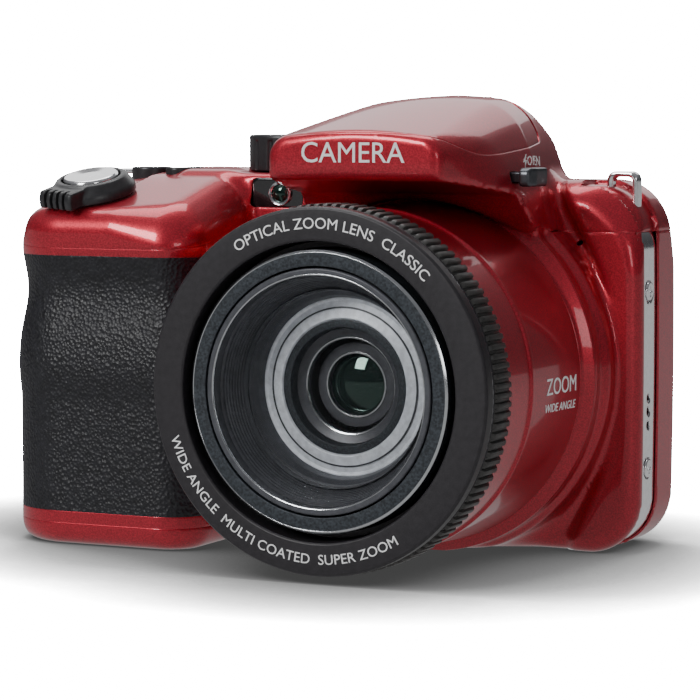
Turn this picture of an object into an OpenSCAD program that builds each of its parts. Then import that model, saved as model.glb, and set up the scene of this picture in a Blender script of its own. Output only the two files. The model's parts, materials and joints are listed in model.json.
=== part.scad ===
/* [Body] */
// Overall width of the body
body_w = 119.3; // [119.3:0.1:121]
// Rear plane of the body, measured back from the middle of the depth
rear_y = 36.5; // [36:0.5:37]
// Front face of the body beside the lens
face_y = 14.5; // [14.5:0.5:15]
// Line where the front and rear shells meet
split_y = 21.75; // [21.5:0.25:22]
// Height of the control deck
deck_z = 70.6; // [70.6:0.1:71.3]
// Height of the shoulder on the lens side
shoulder_z = 69.6; // [69.6:0.1:70]
// Height of the seam between the shells and the top cover
seam_z = 60.1; // [60:0.1:60.5]
// How far that seam dips at the front of the grip
seam_dip = 3.5; // [2:0.5:4]
// Wall thickness of the mouldings
wall = 2.2; // [2:0.1:2.4]
// Radius of the two bottom corners
foot_r = 10; // [9:0.5:10]
// Radius of the top corner over the grip
grip_top_r = 20; // [19:0.5:20]
// Radius of the top corner at the lens side
shoulder_r = 13; // [12:0.5:13]
// Slope of the deck towards the shutter button, in degrees
deck_slope = 16; // [14:0.5:16]
// Line where the deck starts to slope
slope_y = 7; // [6:0.5:7]

/* [Grip] */
// Front of the grip
grip_y = -18; // [-18:0.5:-17]
// Lens-side face of the grip
grip_x = -17; // [-17.5:0.5:-17]
// Radius of the outer front corner of the grip
grip_r = 14; // [13:0.5:14]
// Radius of the inner front corner of the grip
grip_inner_r = 8; // [7:0.5:8]
// Thickness of the rubber skin
rubber_t = 1.8; // [1.6:0.1:1.8]
// Lower edge of the rubber skin
rubber_z0 = 6.5; // [6:0.5:7]
// Upper edge of the rubber skin
rubber_z1 = 55.2; // [54:0.2:55.2]
// Rear edge of the rubber skin
rubber_y1 = 13; // [12:0.5:13]
// Height of the cap under the grip
cap_z = 4.3; // [4.2:0.1:4.5]
// Radius of the lower edge of the cap
cap_r = 5; // [4:0.5:5]
// Depth of the finger recess
recess_depth = 1.2; // [0.6:0.1:1.2]
// Height of the middle of the finger recess
recess_z = 48; // [46:0.5:48]

/* [Hump] */
// Front face of the brow over the lens
brow_y = -25.2; // [-25.2:0.1:-25]
// Lower edge of the brow
brow_z = 70.6; // [70.5:0.1:71]
// Half of the width of the brow at its front
brow_half_w = 16.6; // [16:0.2:16.6]
// Half of the width of the hump at its foot
hump_half_w = 23; // [22.5:0.5:23]
// Highest point of the object
top_z = 85.7; // [85.7:0.1:86]
// Thickness of the flash lid
lid_t = 1.9; // [1.8:0.1:2]
// Gap around the flash lid
lid_gap = 0.3; // [0.3:0.05:0.4]
// Depth position of the flash lid's hinge
lid_hinge_y = 22.2; // [22:0.1:22.2]
// Height of the flash lid's hinge
lid_hinge_z = 84; // [83.8:0.1:84]

/* [Lens] */
// Lens axis across the body
lens_x = 20; // [19.5:0.5:20]
// Lens axis above the base
lens_z = 33.7; // [33.7:0.1:34]
// Front face of the lens ring, which is the foremost point
ring_y = -40; // [-40:0.1:-39.9]
// Outer radius of the front ring
ring_r = 32.3; // [32:0.1:32.3]
// Radius of the opening of the front ring
mouth_r = 26.3; // [26.3:0.1:26.4]
// Radius over the teeth of the knurled ring
knurl_r = 32.7; // [32.7:0.1:32.8]
// Number of teeth on the knurled ring
knurl_teeth = 72; // [48:4:72]
// Radius of the fixed barrel behind the knurl
barrel_r = 31; // [31:0.1:31.2]
// Radius of the flare where the barrel meets the body
flare_r = 35.3; // [35:0.1:35.3]
// Outer radius of the first moving stage
stage_1_r = 24.8; // [24.7:0.1:24.8]
// Outer radius of the second moving stage
stage_2_r = 21.6; // [21.5:0.1:21.6]
// Travel of each moving stage
stage_travel = 18; // [17:0.5:18]
// Turn of the cam ring over that travel, in degrees
cam_turn = 60; // [56:1:60]
// Clearance between parts that slide or turn in the lens
lens_gap = 0.3; // [0.28:0.01:0.3]

/* [Battery and card] */
// Battery width, thickness and height
battery_size = [30.5, 11, 46];
// Lower rear outer corner of the battery
battery_at = [-53, -5, 5];
// Memory card width, thickness and height
card_size = [24, 2.1, 32];

/* [Controls] */
// Middle of the shutter button and zoom lever
shutter_at = [-43, -8];
// Radius of the zoom lever's ring
lever_r = 8.35; // [8:0.05:8.4]
// Radius of the shutter button
shutter_r = 5.35; // [5:0.05:5.4]
// Middle of the mode dial
dial_at = [-14, 20];
// Radius of the mode dial
dial_r = 8.8; // [8.4:0.1:8.8]
// Height of the mode dial
dial_h = 7; // [6.2:0.1:7.1]
// Middle of the direction pad on the rear, across and up
pad_at = [-39.5, 22];
// Radius of the direction pad
pad_r = 10; // [9:0.5:10]
// Radius of the small rear buttons
key_r = 3.6; // [3.2:0.1:3.7]
// Height that the rear buttons stand out
key_proud = 1.1; // [0.8:0.1:1.2]

/* [Screen] */
// Screen window, low and high corners across and up
screen_lo = [-20, 5];
screen_hi = [52, 57];
// How far the screen window stands out
screen_proud = 1.8; // [1.4:0.1:1.8]

/* [Tripod socket] */
// Middle of the socket
socket_at = [20, 29];
// Radius of the thread's inner diameter
socket_r = 2.6; // [2.55:0.05:2.6]
// Depth of the thread
socket_depth = 5.5; // [5:0.1:5.5]

/* [Hidden] */
half_w = body_w / 2;
fine = 96;
coarse = 48;
eps = 0.01;
fit = 0.05;
gap = 0.3;
slope_k = tan(deck_slope);
drum_y = 7;
drum_mid_y = 10.4;
drum_r = 34;
drum_bore_r = 30.6;
trim_y0 = 18;
trim_y1 = 25.5;
trim_x = 47.8;
trim_t = 2.2;
trim_sunk = 0.5;
screw_zs = [49, 15.8];
speaker_zs = [29, 26.45, 23.9];
base_screw_xs = [-8, 46];
base_screw_ys = [19, 31.6];
base_y = 20.4;
base_t = 2;
chassis_y = 23;
board_y = 27;
rear_board_y = 31;
lid_front_z = 78.8;
lid_corner = [-15, 74];
lid_rear_z = 77;
axis_shoulder = [half_w - shoulder_r, shoulder_z - shoulder_r];
axis_grip_top = [-half_w + grip_top_r, deck_z - grip_top_r];
// Middles of the strap loops, across and up, and their half width, top, foot, wire and thickness
lug_at = [[-52, 66.9], [54, 67.2]];
lug_half_w = 3.1;
lug_top = 4.1;
lug_foot = 4.6;
lug_wire = 1.15;
gear_teeth = 72;
pinion_teeth = 12;
gear_module = 0.8;
gear_r = gear_teeth * gear_module / 2;
pinion_r = pinion_teeth * gear_module / 2;
gear_y0 = 17;
gear_y1 = 20;
pinion_angle = 110;
pinion_dist = gear_r + pinion_r + 0.1;
pinion_x = lens_x + pinion_dist * cos(pinion_angle);
pinion_z = lens_z + pinion_dist * sin(pinion_angle);
cam_r0 = 26.4;
cam_r1 = 27.9;
guide_r0 = stage_1_r + lens_gap;
guide_r1 = 26.1;
rod_r = 1;
rod_dist = 15.5;
rod_angles = [40, 220];
follower_y = 1;
follower_r = 1;
follower_angles = [30, 150, 270];
slot_r = 1.6;
slot_steps = 18;
door_axis = [-21.6, 1.5];
door_barrel_r = 1.2;
door_y0 = -9.6;
door_y1 = 12.6;
door_x0 = -54.8;
port_axis = [-58.55, 28.2];
port_barrel_r = 1.1;
port_z0 = 31;
port_z1 = 47;
port_y1 = 33.6;
af_lo = [-16.7, 63.9];
af_hi = [-5.6, 69.8];
af_lamp_at = [-10.5, 66.7];
release_z = 70.5;
release_y = -4.5;
lever_neck_r = 6.3;
lever_tab_angle = 255;
// Middle, radius and drop of the flange of the power, burst and exposure buttons
deck_keys = [[[-42.5, 14], 4, 1.8], [[-34, 9.6], 2.6, 0], [[-34, 18], 2.6, 0]];
card_at = [-50, 9.6, 7];
mic_at = [47.2, 58];
mic_r = 0.75;
thumb_lo = [-55, 42];
thumb_hi = [-37.5, 58];
thumb_rib_pitch = 2.6;
hinge_pin_r = 0.6;
screw_r = 1;
screw_head_r = 2;
speaker_r = 0.7;
lug_t = 3;
// Middles of the play, menu, info and record buttons, across and up
rear_keys = [[-30.5, 37], [-46.5, 37], [-30.5, 7.6], [-28.5, 50]];

RED = [0.55, 0.07, 0.1];
BLACK = [0.1, 0.1, 0.11];
DARK = [0.2, 0.2, 0.21];
SILVER = [0.8, 0.8, 0.82];
GLASS = [0.5, 0.65, 0.75];
GREEN = [0.1, 0.4, 0.2];
BRASS = [0.75, 0.6, 0.3];

// ---- helpers: placing a flat outline in space ----

module along_z(z0, z1) translate([0, 0, z0]) linear_extrude(z1 - z0) children();
module along_y(y0, y1) translate([0, y1, 0]) rotate([90, 0, 0]) linear_extrude(y1 - y0) children();
module along_x(x0, x1) translate([x0, 0, 0]) rotate([90, 0, 90]) linear_extrude(x1 - x0) children();
module block(lo, hi) translate(lo) cube(hi - lo);
module soft_rect(lo, hi, r) {
    translate([lo[0] + r, lo[1]]) square([hi[0] - lo[0] - 2 * r, hi[1] - lo[1]]);
    translate([lo[0], lo[1] + r]) square([hi[0] - lo[0], hi[1] - lo[1] - 2 * r]);
    for (x = [lo[0] + r, hi[0] - r], y = [lo[1] + r, hi[1] - r]) translate([x, y]) circle(r, $fn = coarse);
}
// A profile of [radius, depth] points turned around the lens axis
module lathe(points)
    translate([lens_x, 0, lens_z]) rotate([-90, 0, 0]) rotate_extrude($fn = fine) polygon(points);
module lens_ring(r1, r0, y0, y1) lathe([[r0, y0], [r1, y0], [r1, y1], [r0, y1]]);
module lens_rod(r, dist, angle, y0, y1)
    translate([lens_x + dist * cos(angle), y1, lens_z + dist * sin(angle)])
        rotate([90, 0, 0]) cylinder(r = r, h = y1 - y0, $fn = coarse);
module lens_spoke(r, r0, r1, y, angle)
    translate([lens_x, y, lens_z]) rotate([0, -angle, 0]) translate([r0, 0, 0])
        rotate([0, 90, 0]) cylinder(r = r, h = r1 - r0, $fn = coarse);
module peg_y(at, r, y0, y1)
    translate([at[0], y1, at[1]]) rotate([90, 0, 0]) cylinder(r = r, h = y1 - y0, $fn = coarse);
module peg_z(at, r, z0, z1) translate([at[0], at[1], z0]) cylinder(r = r, h = z1 - z0, $fn = coarse);
module peg_x(at, r, x0, x1)
    translate([x0, at[0], at[1]]) rotate([0, 90, 0]) cylinder(r = r, h = x1 - x0, $fn = coarse);
function turn(r, a) = [r * cos(a), r * sin(a)];
function gear_outline(teeth, root, tip, half_root, half_tip, phase) = [
    for (i = [0:teeth - 1]) let (a = i * 360 / teeth + phase)
        each [turn(root, a - half_root), turn(tip, a - half_tip),
              turn(tip, a + half_tip), turn(root, a + half_root)]];

// ---- outlines of the body, each drawn in by an inset ----

module body_outline(inset, r_foot = foot_r) {
    w = half_w - inset;
    translate([-w, r_foot]) square([2 * w, axis_grip_top[1] - r_foot]);
    translate([-half_w + r_foot, inset]) square([2 * half_w - r_foot - foot_r, r_foot + 1]);
    translate([axis_grip_top[0], axis_grip_top[1] - 1])
        square([lens_x - axis_grip_top[0], deck_z - inset - axis_grip_top[1] + 1]);
    translate([lens_x - 1, axis_grip_top[1] - 1])
        square([axis_shoulder[0] - lens_x + 1, shoulder_z - inset - axis_grip_top[1] + 1]);
    translate([lens_x, axis_grip_top[1] - 1]) square([w - lens_x, axis_shoulder[1] - axis_grip_top[1] + 1]);
    translate([-half_w + r_foot, r_foot]) circle(r_foot - inset, $fn = fine);
    translate([half_w - foot_r, foot_r]) circle(foot_r - inset, $fn = fine);
    translate(axis_grip_top) circle(grip_top_r - inset, $fn = fine);
    translate(axis_shoulder) circle(shoulder_r - inset, $fn = fine);
}
module grip_plan(inset, y1 = face_y + 1) {
    x0 = -half_w + inset;
    x1 = grip_x - inset;
    y0 = grip_y + inset;
    outer = grip_r - inset;
    inner = grip_inner_r - inset;
    translate([x0, y0 + outer]) square([x1 - x0, y1 - y0 - outer]);
    translate([x0 + outer, y0]) square([x1 - x0 - outer - inner, outer + 1]);
    translate([x0 + outer, y0 + inner]) square([x1 - x0 - outer, outer - inner + 1]);
    translate([x0 + outer, y0 + outer]) circle(outer, $fn = fine);
    translate([x1 - inner, y0 + inner]) circle(inner, $fn = fine);
}
// Space over the seam between the shells and the top cover
module over_seam() along_x(-half_w - 1, half_w + 1)
    polygon([[-45, seam_z - seam_dip], [grip_y, seam_z - seam_dip], [drum_y, seam_z], [45, seam_z],
             [45, top_z + 5], [-45, top_z + 5]]);
module under_deck(inset) along_x(-half_w - 1, half_w + 1)
    polygon([[-45, 0], [45, 0], [45, deck_z - inset], [slope_y, deck_z - inset],
             [-45, deck_z - inset - (45 + slope_y) * slope_k]]);
module grip_block(inset, z0, z1, skin = 0) intersection() {
    along_z(z0, z1) grip_plan(inset + skin);
    along_y(-45, face_y + 1.5) body_outline(inset + skin, cap_r);
    under_deck(inset);
}
module left_block(inset) along_y(drum_y + inset, face_y + wall + 1) intersection() {
    body_outline(inset);
    translate([grip_x - 4, 0]) square([-grip_x + 4 - inset, deck_z]);
}
module lens_drum() intersection() {
    union() {
        lens_ring(drum_r, drum_bore_r, drum_y, drum_mid_y);
        lens_ring(flare_r, drum_bore_r, drum_mid_y, face_y + wall);
    }
    along_y(0, rear_y) body_outline(0);
}
module lens_hole() lens_ring(drum_bore_r, 0, drum_y - 3, face_y + wall + 1);
module trim_zone(sx, extra = 0) intersection() {
    block([sx > 0 ? trim_x - extra : -half_w - 1, trim_y0 - extra, -1],
          [sx > 0 ? half_w + 1 : -trim_x + extra, trim_y1 + extra, seam_z]);
    along_y(trim_y0 - extra, trim_y1 + extra) difference() {
        body_outline(-1);
        body_outline(trim_t + eps);
    }
}

// ---- outlines of the hump ----

function hump_side(inset) = [[hump_half_w - inset, 50], [hump_half_w - inset, brow_z],
    [21.4 - inset, 73.9], [18.6 - inset, 78.6], [15.6 - inset, 82.4 - inset / 2], [10, 84.8 - inset],
    [0, top_z - inset]];
module hump_section(inset) {
    side = hump_side(inset);
    polygon(concat([for (p = side) [lens_x + p[0], p[1]]],
                   [for (i = [len(side) - 1:-1:0]) [lens_x - side[i][0], side[i][1]]]));
}
module hump_plan(inset) polygon([
    [lens_x - brow_half_w + inset, brow_y + inset], [lens_x + brow_half_w - inset, brow_y + inset],
    [lens_x + 21.6 - inset, -9], [lens_x + hump_half_w - inset, -1],
    [lens_x + hump_half_w - inset, rear_y - inset],
    [lens_x - hump_half_w + inset, rear_y - inset], [lens_x - hump_half_w + inset, -1],
    [lens_x - 21.6 + inset, -9]]);
module hump_profile(inset) polygon([
    [4 + inset, 50], [4 + inset, 61 + inset], [-3 + inset, 67 + inset], [brow_y + inset, brow_z + inset], [brow_y + inset, 79 - inset],
    [-15, 80.8 - inset], [-6, 82.4 - inset], [6, 84.4 - inset], [16, top_z - inset], [24, top_z - inset],
    [30, 84.2 - inset], [rear_y - inset, 78.5 - inset], [rear_y - inset, 50]]);
module hump(inset) intersection() {
    along_y(brow_y, rear_y) hump_section(inset);
    along_z(seam_z - 6, top_z) hump_plan(inset);
    along_x(lens_x - 30, lens_x + 30) hump_profile(inset);
}
module hump_cavity() difference() {
    hump(wall);
    lens_ring(barrel_r + 1.4 + wall, 0, -45, drum_y - 4);
    lens_ring(flare_r + gap + wall, 0, drum_y - 4 - eps, face_y + eps);
}
// Space taken by the flash lid, drawn in by a gap on every side
module lid_zone(g) along_x(lens_x - 30, lens_x + 30)
    polygon([[brow_y - 1, lid_front_z + g], lid_corner + [0, g], [lid_hinge_y - 0.5, lid_rear_z + g],
             [lid_hinge_y - 0.2, top_z + 1], [brow_y - 1, top_z + 1]]);
module lid_space() along_x(lens_x - 30, lens_x + 30)
    polygon([[brow_y - 1, lid_front_z], lid_corner, [lid_hinge_y + 1.3, lid_rear_z - 0.1],
             [lid_hinge_y + 1.3, top_z + 1], [brow_y - 1, top_z + 1]]);

// ---- casing ----

module front_shell() color(RED) {
    front_casing();
    for (x = base_screw_xs) screw_boss([x, base_screw_ys[0]]);
}
module front_casing() difference() {
    union() {
        difference() {
            union() {
                along_y(face_y, split_y) body_outline(0);
                grip_block(0, cap_z, seam_z);
                left_block(0);
            }
            over_seam();
            block([-half_w - 1, grip_y - 1, -1], [grip_x, face_y, cap_z]);
        }
        lens_drum();
    }
    along_y(face_y + wall, split_y + 1) body_outline(wall);
    grip_block(wall, cap_z - 1, seam_z + 1, rubber_t);
    along_z(cap_z - 1, seam_z + 1) intersection() {
        grip_plan(wall + rubber_t, face_y + wall + 1);
        translate([-half_w + wall + rubber_t, 0]) square([half_w + grip_x - 2 * (wall + rubber_t), 20]);
    }
    left_block(wall);
    lens_hole();
    along_z(rubber_z0, rubber_z1) difference() {
        translate([-half_w - 1, grip_y - 1]) square([half_w + 1 + grip_x + 1, rubber_y1 - grip_y + 1]);
        grip_plan(rubber_t);
    }
    trim_zone(1);
    trim_zone(-1);
    peg_y(mic_at, mic_r, face_y - 1, face_y + wall + 1);
    for (x = base_screw_xs) screw_hole([x, base_screw_ys[0]]);
}
module rear_shell() color(RED) {
    rear_casing();
    for (x = base_screw_xs) screw_boss([x, base_screw_ys[1]]);
}
module rear_casing() difference() {
    along_y(split_y, rear_y) body_outline(0);
    along_y(split_y - 1, rear_y - wall) body_outline(wall);
    over_seam();
    trim_zone(1);
    trim_zone(-1);
    along_y(rear_y - wall - 1, rear_y + 1) soft_rect(screen_lo + [2, 2], screen_hi - [2, 2], 1);
    along_y(rear_y - 1, rear_y + 1) soft_rect(screen_lo - [gap, gap], screen_hi + [gap, gap], 2);
    peg_y(pad_at, pad_r + 0.6, rear_y - wall - 1, rear_y + 1);
    for (at = rear_keys) peg_y(at, key_r + gap, rear_y - wall - 1, rear_y + 1);
    block([-half_w - 1, port_axis[1] - port_barrel_r - 0.25, port_z0 - gap],
          [-half_w + wall + 1, port_y1 + gap, port_z1 + gap]);
    peg_z(port_axis, 0.5 + fit, port_z0 - 2.2, port_z1 + 2.2);
    peg_z(socket_at, 4.8, -1, wall + 1);
    for (x = base_screw_xs) screw_hole([x, base_screw_ys[1]]);
}
module top_cover() {
    cover_shell();
    flash_ears();
}
module cover_shell() color(RED) difference() {
    union() {
        intersection() {
            along_y(face_y, rear_y) body_outline(0);
            over_seam();
        }
        intersection() {
            union() {
                grip_block(0, seam_z - 6, deck_z);
                left_block(0);
            }
            over_seam();
            under_deck(0);
        }
        intersection() {
            hump(0);
            over_seam();
        }
    }
    along_y(face_y + wall, rear_y - wall) body_outline(wall);
    grip_block(wall, seam_z - 7, deck_z, 0);
    along_y(face_y - 3, face_y + wall + 1) intersection() {
        body_outline(wall);
        translate([-half_w, seam_z - 6]) square([half_w + grip_x - wall, 20]);
    }
    intersection() {
        left_block(wall);
        under_deck(wall);
    }
    hump_cavity();
    lens_ring(barrel_r + 1.4, 0, -45, drum_mid_y + 0.4);
    lens_ring(flare_r + gap, 0, drum_y - 1.4, face_y + wall + eps);
    lid_space();
    along_y(drum_y - 1, drum_y + wall + 1) soft_rect(af_lo, af_hi, 1);
    for (k = deck_keys) peg_z(k[0], k[1] + gap, deck_z - wall - 1 - k[2], deck_z + 1);
    peg_z(dial_at, 2.5 + gap, deck_z - wall - 1, deck_z + 1);
    on_deck() cylinder(r = lever_neck_r + gap, h = 18, center = true, $fn = coarse);
    block([lens_x + hump_half_w - wall - 2, release_y + 1.8, release_z - 1.3],
          [lens_x + hump_half_w + 1, release_y + 9.2, release_z + 1.3]);
    lug_pockets();
}
module flash_ears() color(RED) intersection() {
    for (x = [lens_x - 10, lens_x + 7.3]) difference() {
        union() {
            peg_x([lid_hinge_y, lid_hinge_z], 1.25, x, x + 2.7);
            block([x, lid_hinge_y, lid_hinge_z - 1.25], [x + 2.7, lid_hinge_y + 2.5, lid_hinge_z + 1.25]);
        }
        peg_x([lid_hinge_y, lid_hinge_z], hinge_pin_r, x - 1, x + 3.7);
    }
    block([0, 0, 0], [50, 50, top_z]);
}
module grip_rubber() color(BLACK) difference() {
    intersection() {
        along_z(rubber_z0 + fit, rubber_z1 - fit) difference() {
            grip_plan(0, rubber_y1 - fit);
            grip_plan(rubber_t, rubber_y1 + 1);
        }
        along_y(-45, face_y) body_outline(0, cap_r);
    }
    translate([-half_w - 5, grip_y - 12 + recess_depth, recess_z])
        rotate([0, 90, 0]) cylinder(r = 12, h = half_w, $fn = fine);
}
module grip_cap() color(RED) difference() {
    intersection() {
        along_z(0, cap_z) grip_plan(0, face_y);
        along_y(-45, face_y) body_outline(0, cap_r);
    }
    block([door_x0 - gap, door_y0 - gap, -1], [door_axis[0] + 2, door_y1 + gap, cap_z + 1]);
    peg_y(door_axis, hinge_pin_r, door_y0 - 3, door_y1 + 1.5);
}
module thumb_rest() color(BLACK) along_y(rear_y, -ring_y) difference() {
    soft_rect(thumb_lo, thumb_hi, 3);
    for (z = [thumb_lo[1] + 3:thumb_rib_pitch:thumb_hi[1] - 2])
        translate([thumb_lo[0] + 3, z]) square([thumb_hi[0] - thumb_lo[0] - 6, 0.9]);
}

// ---- trim, screws and lugs ----

module screw_hole(at) {
    peg_z(at, screw_r, -1, wall + 1);
    peg_z(at, screw_head_r, -1, 0.9);
}
module screw_boss(at) difference() {
    peg_z(at, 2.4, wall - eps, 5.4);
    peg_z(at, screw_r, 0, 6);
}
module side_trim(sx) color(SILVER) difference() {
    intersection() {
        block([sx > 0 ? trim_x + 0.1 : -half_w, trim_y0 + fit, 0],
              [sx > 0 ? half_w : -trim_x - 0.1, trim_y1 - fit, seam_z - 0.1]);
        along_y(trim_y0 + fit, trim_y1 - fit) difference() {
            body_outline(trim_sunk);
            body_outline(trim_t);
        }
    }
    for (z = screw_zs) {
        peg_x([split_y, z], screw_r, sx * half_w - 3, sx * half_w + 3);
        peg_x([split_y, z], screw_head_r,
              sx > 0 ? half_w - 1.4 : -half_w - 1, sx > 0 ? half_w + 1 : -half_w + 1.4);
    }
    if (sx > 0) for (z = speaker_zs) peg_x([split_y, z], speaker_r, half_w - 3, half_w + 1);
}
module screw(length) {
    cylinder(r = screw_r - fit, h = length, $fn = coarse);
    translate([0, 0, -0.8]) difference() {
        cylinder(r = screw_head_r - 0.15, h = 0.8, $fn = coarse);
        for (a = [0, 90]) rotate(a) translate([-1.1, -0.2, -1]) cube([2.2, 0.4, 1.4]);
    }
}
module case_screws() color(SILVER) {
    for (sx = [-1, 1], z = screw_zs)
        translate([sx * (half_w - 1.4), split_y, z]) rotate([0, -90 * sx, 0]) screw(3.6);
    for (x = base_screw_xs, y = base_screw_ys) translate([x, y, 0.9]) screw(4);
}
module at_lug(at) translate([at[0], split_y, at[1]]) children();
module lug_outline() difference() {
    soft_rect([-lug_half_w, -lug_foot], [lug_half_w, lug_top], 1.7);
    soft_rect([-lug_half_w + lug_wire, -0.7], [lug_half_w - lug_wire, lug_top - lug_wire], 1);
}
module strap_lugs() color(SILVER) for (at = lug_at) at_lug(at) along_y(-lug_t / 2, lug_t / 2) lug_outline();
module lug_pockets() for (at = lug_at) at_lug(at)
    block([-lug_half_w - 0.1, -lug_t / 2 - 0.1, -lug_foot - 0.1], [lug_half_w + 0.1, lug_t / 2 + 0.1, lug_top + 1]);

// ---- lens ----

module lens_skirt() color(RED) lathe([
    [29.2, -29.9], [30.5, -29.9], [30.5, -28.9], [30.9, -28.3], [barrel_r, -17.5], [barrel_r + 0.5, -17.2],
    [barrel_r + 0.5, -16], [barrel_r, -15.7], [32, 4.7], [31.6, 5], [31.6, 5.6], [32.2, 6],
    [drum_r, drum_y], [29.2, drum_y]]);
module knurled_ring() color(DARK) difference() {
    translate([lens_x, 0, lens_z]) along_y(-36.1, -29.2)
        polygon(gear_outline(knurl_teeth, knurl_r - 0.6, knurl_r, 2, 0.9, 0));
    lens_ring(30.6, 0, -40, -28);
}
module lens_front_ring() color(BLACK) lathe([
    [mouth_r + 0.4, ring_y], [ring_r - 0.7, ring_y], [ring_r, ring_y + 0.7], [ring_r, -37.2], [ring_r - 0.4, -37],
    [ring_r - 0.4, -36.4], [ring_r, -36.2], [30.5, -36.2], [30.5, -30], [28.6, -30], [28.6, -31], [mouth_r, -31],
    [mouth_r, ring_y + 0.4]]);
module guide_tube() color(DARK) difference() {
    lens_ring(guide_r1, guide_r0, -34, base_y);
    for (a = follower_angles) translate([lens_x, 0, lens_z]) rotate([0, -a, 0])
        translate([guide_r0 - 2, follower_y - stage_travel - 2, -follower_r - gap])
            cube([5, stage_travel + 4, 2 * (follower_r + gap)]);
}
module cam_ring() color(SILVER) difference() {
    union() {
        lens_ring(cam_r1, cam_r0, -30, gear_y1);
        translate([lens_x, 0, lens_z]) along_y(gear_y0, gear_y1) difference() {
            polygon(gear_outline(gear_teeth, gear_r - 0.55, gear_r + 0.45, 0.8, 0.42, 0));
            circle(cam_r0, $fn = fine);
        }
    }
    for (a = follower_angles, i = [0:slot_steps]) let (s = i / slot_steps)
        lens_spoke(slot_r, cam_r0 - 1, cam_r1 + 1, follower_y - s * stage_travel, a + s * cam_turn);
}
module lens_stage_1() color(DARK) {
    lathe([[stage_2_r + lens_gap, -39.5], [stage_1_r - 0.3, -39.5], [stage_1_r, -39.2], [stage_1_r, 5],
           [stage_1_r - 1.4, 5], [stage_1_r - 1.4, -37.5], [stage_2_r + lens_gap, -37.5]]);
    for (a = follower_angles) lens_spoke(follower_r, stage_1_r - 0.6, cam_r1 - 0.3, follower_y, a);
}
module lens_stage_2() color(BLACK) lathe([
    [stage_2_r - 1.2, -39.5], [stage_2_r - 0.2, -39.5], [stage_2_r, -39.3], [stage_2_r, -4],
    [stage_1_r - 1.4 - lens_gap, -4], [stage_1_r - 1.4 - lens_gap, -2],
    [stage_2_r - 1.3, -2], [stage_2_r - 1.3, -39]]);
function bow(r, sag, y, n) = [for (i = [0:n]) let (q = r * i / n) [q, y + sag * (q / r) * (q / r)]];
module front_element() color(GLASS) lathe(concat(
    bow(stage_2_r - 1.35, 2.2, -38.9, 10), [[stage_2_r - 1.35, -34.9]], [[19, -34.9]],
    [for (i = [9:-1:0]) let (q = 19 * i / 10) [q, -35.9 + (q / 19) * (q / 19)]]));
module lens_baffle() color(DARK) lathe([
    [stage_2_r - 1.35, -34.8], [19, -34.8], [18.2, -33.5], [17, -30], [16, -28], [15.2, -27.6], [12.2, -28.8],
    [10.6, -28.6], [10.2, -25.6], [8.4, -25.4], [8.4, -24.2], [stage_2_r - 1.35, -24.2]]);
module lens_holder(y0, y1, r_out, r_in) difference() {
    union() {
        lens_ring(r_out, 1, y0, y1);
        for (a = rod_angles) lens_rod(2.3, rod_dist, a, y0, y1);
        translate([lens_x, 0, lens_z]) rotate([0, -rod_angles[0], 0])
            translate([-rod_dist, (y0 + y1) / 2 - 1, -1.6]) cube([2 * rod_dist, 2, 3.2]);
    }
    lens_ring(r_in, 0, y0 - 1, y1 + 1);
    for (a = rod_angles) lens_rod(rod_r + fit, rod_dist, a, y0 - 1, y1 + 1);
}
module variator_holder() color(BLACK) lens_holder(-23.2, -17, 7.6, 5.6);
module variator_glass() color(GLASS) lathe(concat(
    bow(5.5, 0.9, -22.4, 6), [[5.5, -19], [0, -19]]));
module guide_rods() color(SILVER) for (a = rod_angles) lens_rod(rod_r, rod_dist, a, -23.4, base_y);
module iris_unit() color(DARK) difference() {
    lens_ring(18.6, 4.2, 0, 4);
    for (a = rod_angles) lens_rod(rod_r + fit, rod_dist, a, -1, 5);
}
module focus_group() color(BLACK) {
    lens_holder(9.4, 13.4, 8, 6);
    lens_ring(6 - eps, 0, 10.2, 12.6);
}
module lens_base_plate() color(SILVER) difference() {
    lens_ring(barrel_r, 0, base_y + eps, base_y + base_t);
    along_y(base_y - 1, base_y + base_t + 1) translate([lens_x - 4, lens_z - 3.2]) square([8, 6.4]);
}
module image_sensor() color(DARK) difference() {
    along_y(base_y + base_t + eps, base_y + base_t + 1.8) translate([lens_x - 6, lens_z - 5]) square([12, 10]);
    along_y(base_y + base_t - 1, base_y + base_t + 0.5)
        translate([lens_x - 3.2, lens_z - 2.4]) square([6.4, 4.8]);
}
module zoom_motor() color(SILVER) {
    peg_y([pinion_x, pinion_z], 4.5, base_y + base_t + 0.3, 33);
    peg_y([pinion_x, pinion_z], 1.6, 32.9, 33.8);
}
module zoom_pinion() color(BRASS) {
    translate([pinion_x, 0, pinion_z]) along_y(gear_y0, gear_y1)
        polygon(gear_outline(pinion_teeth, pinion_r - 0.6, pinion_r + 0.4, 5, 2.6, 5));
    peg_y([pinion_x, pinion_z], 0.9, gear_y1 - 1, base_y + base_t + 0.25);
}

// ---- inside the body ----

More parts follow.
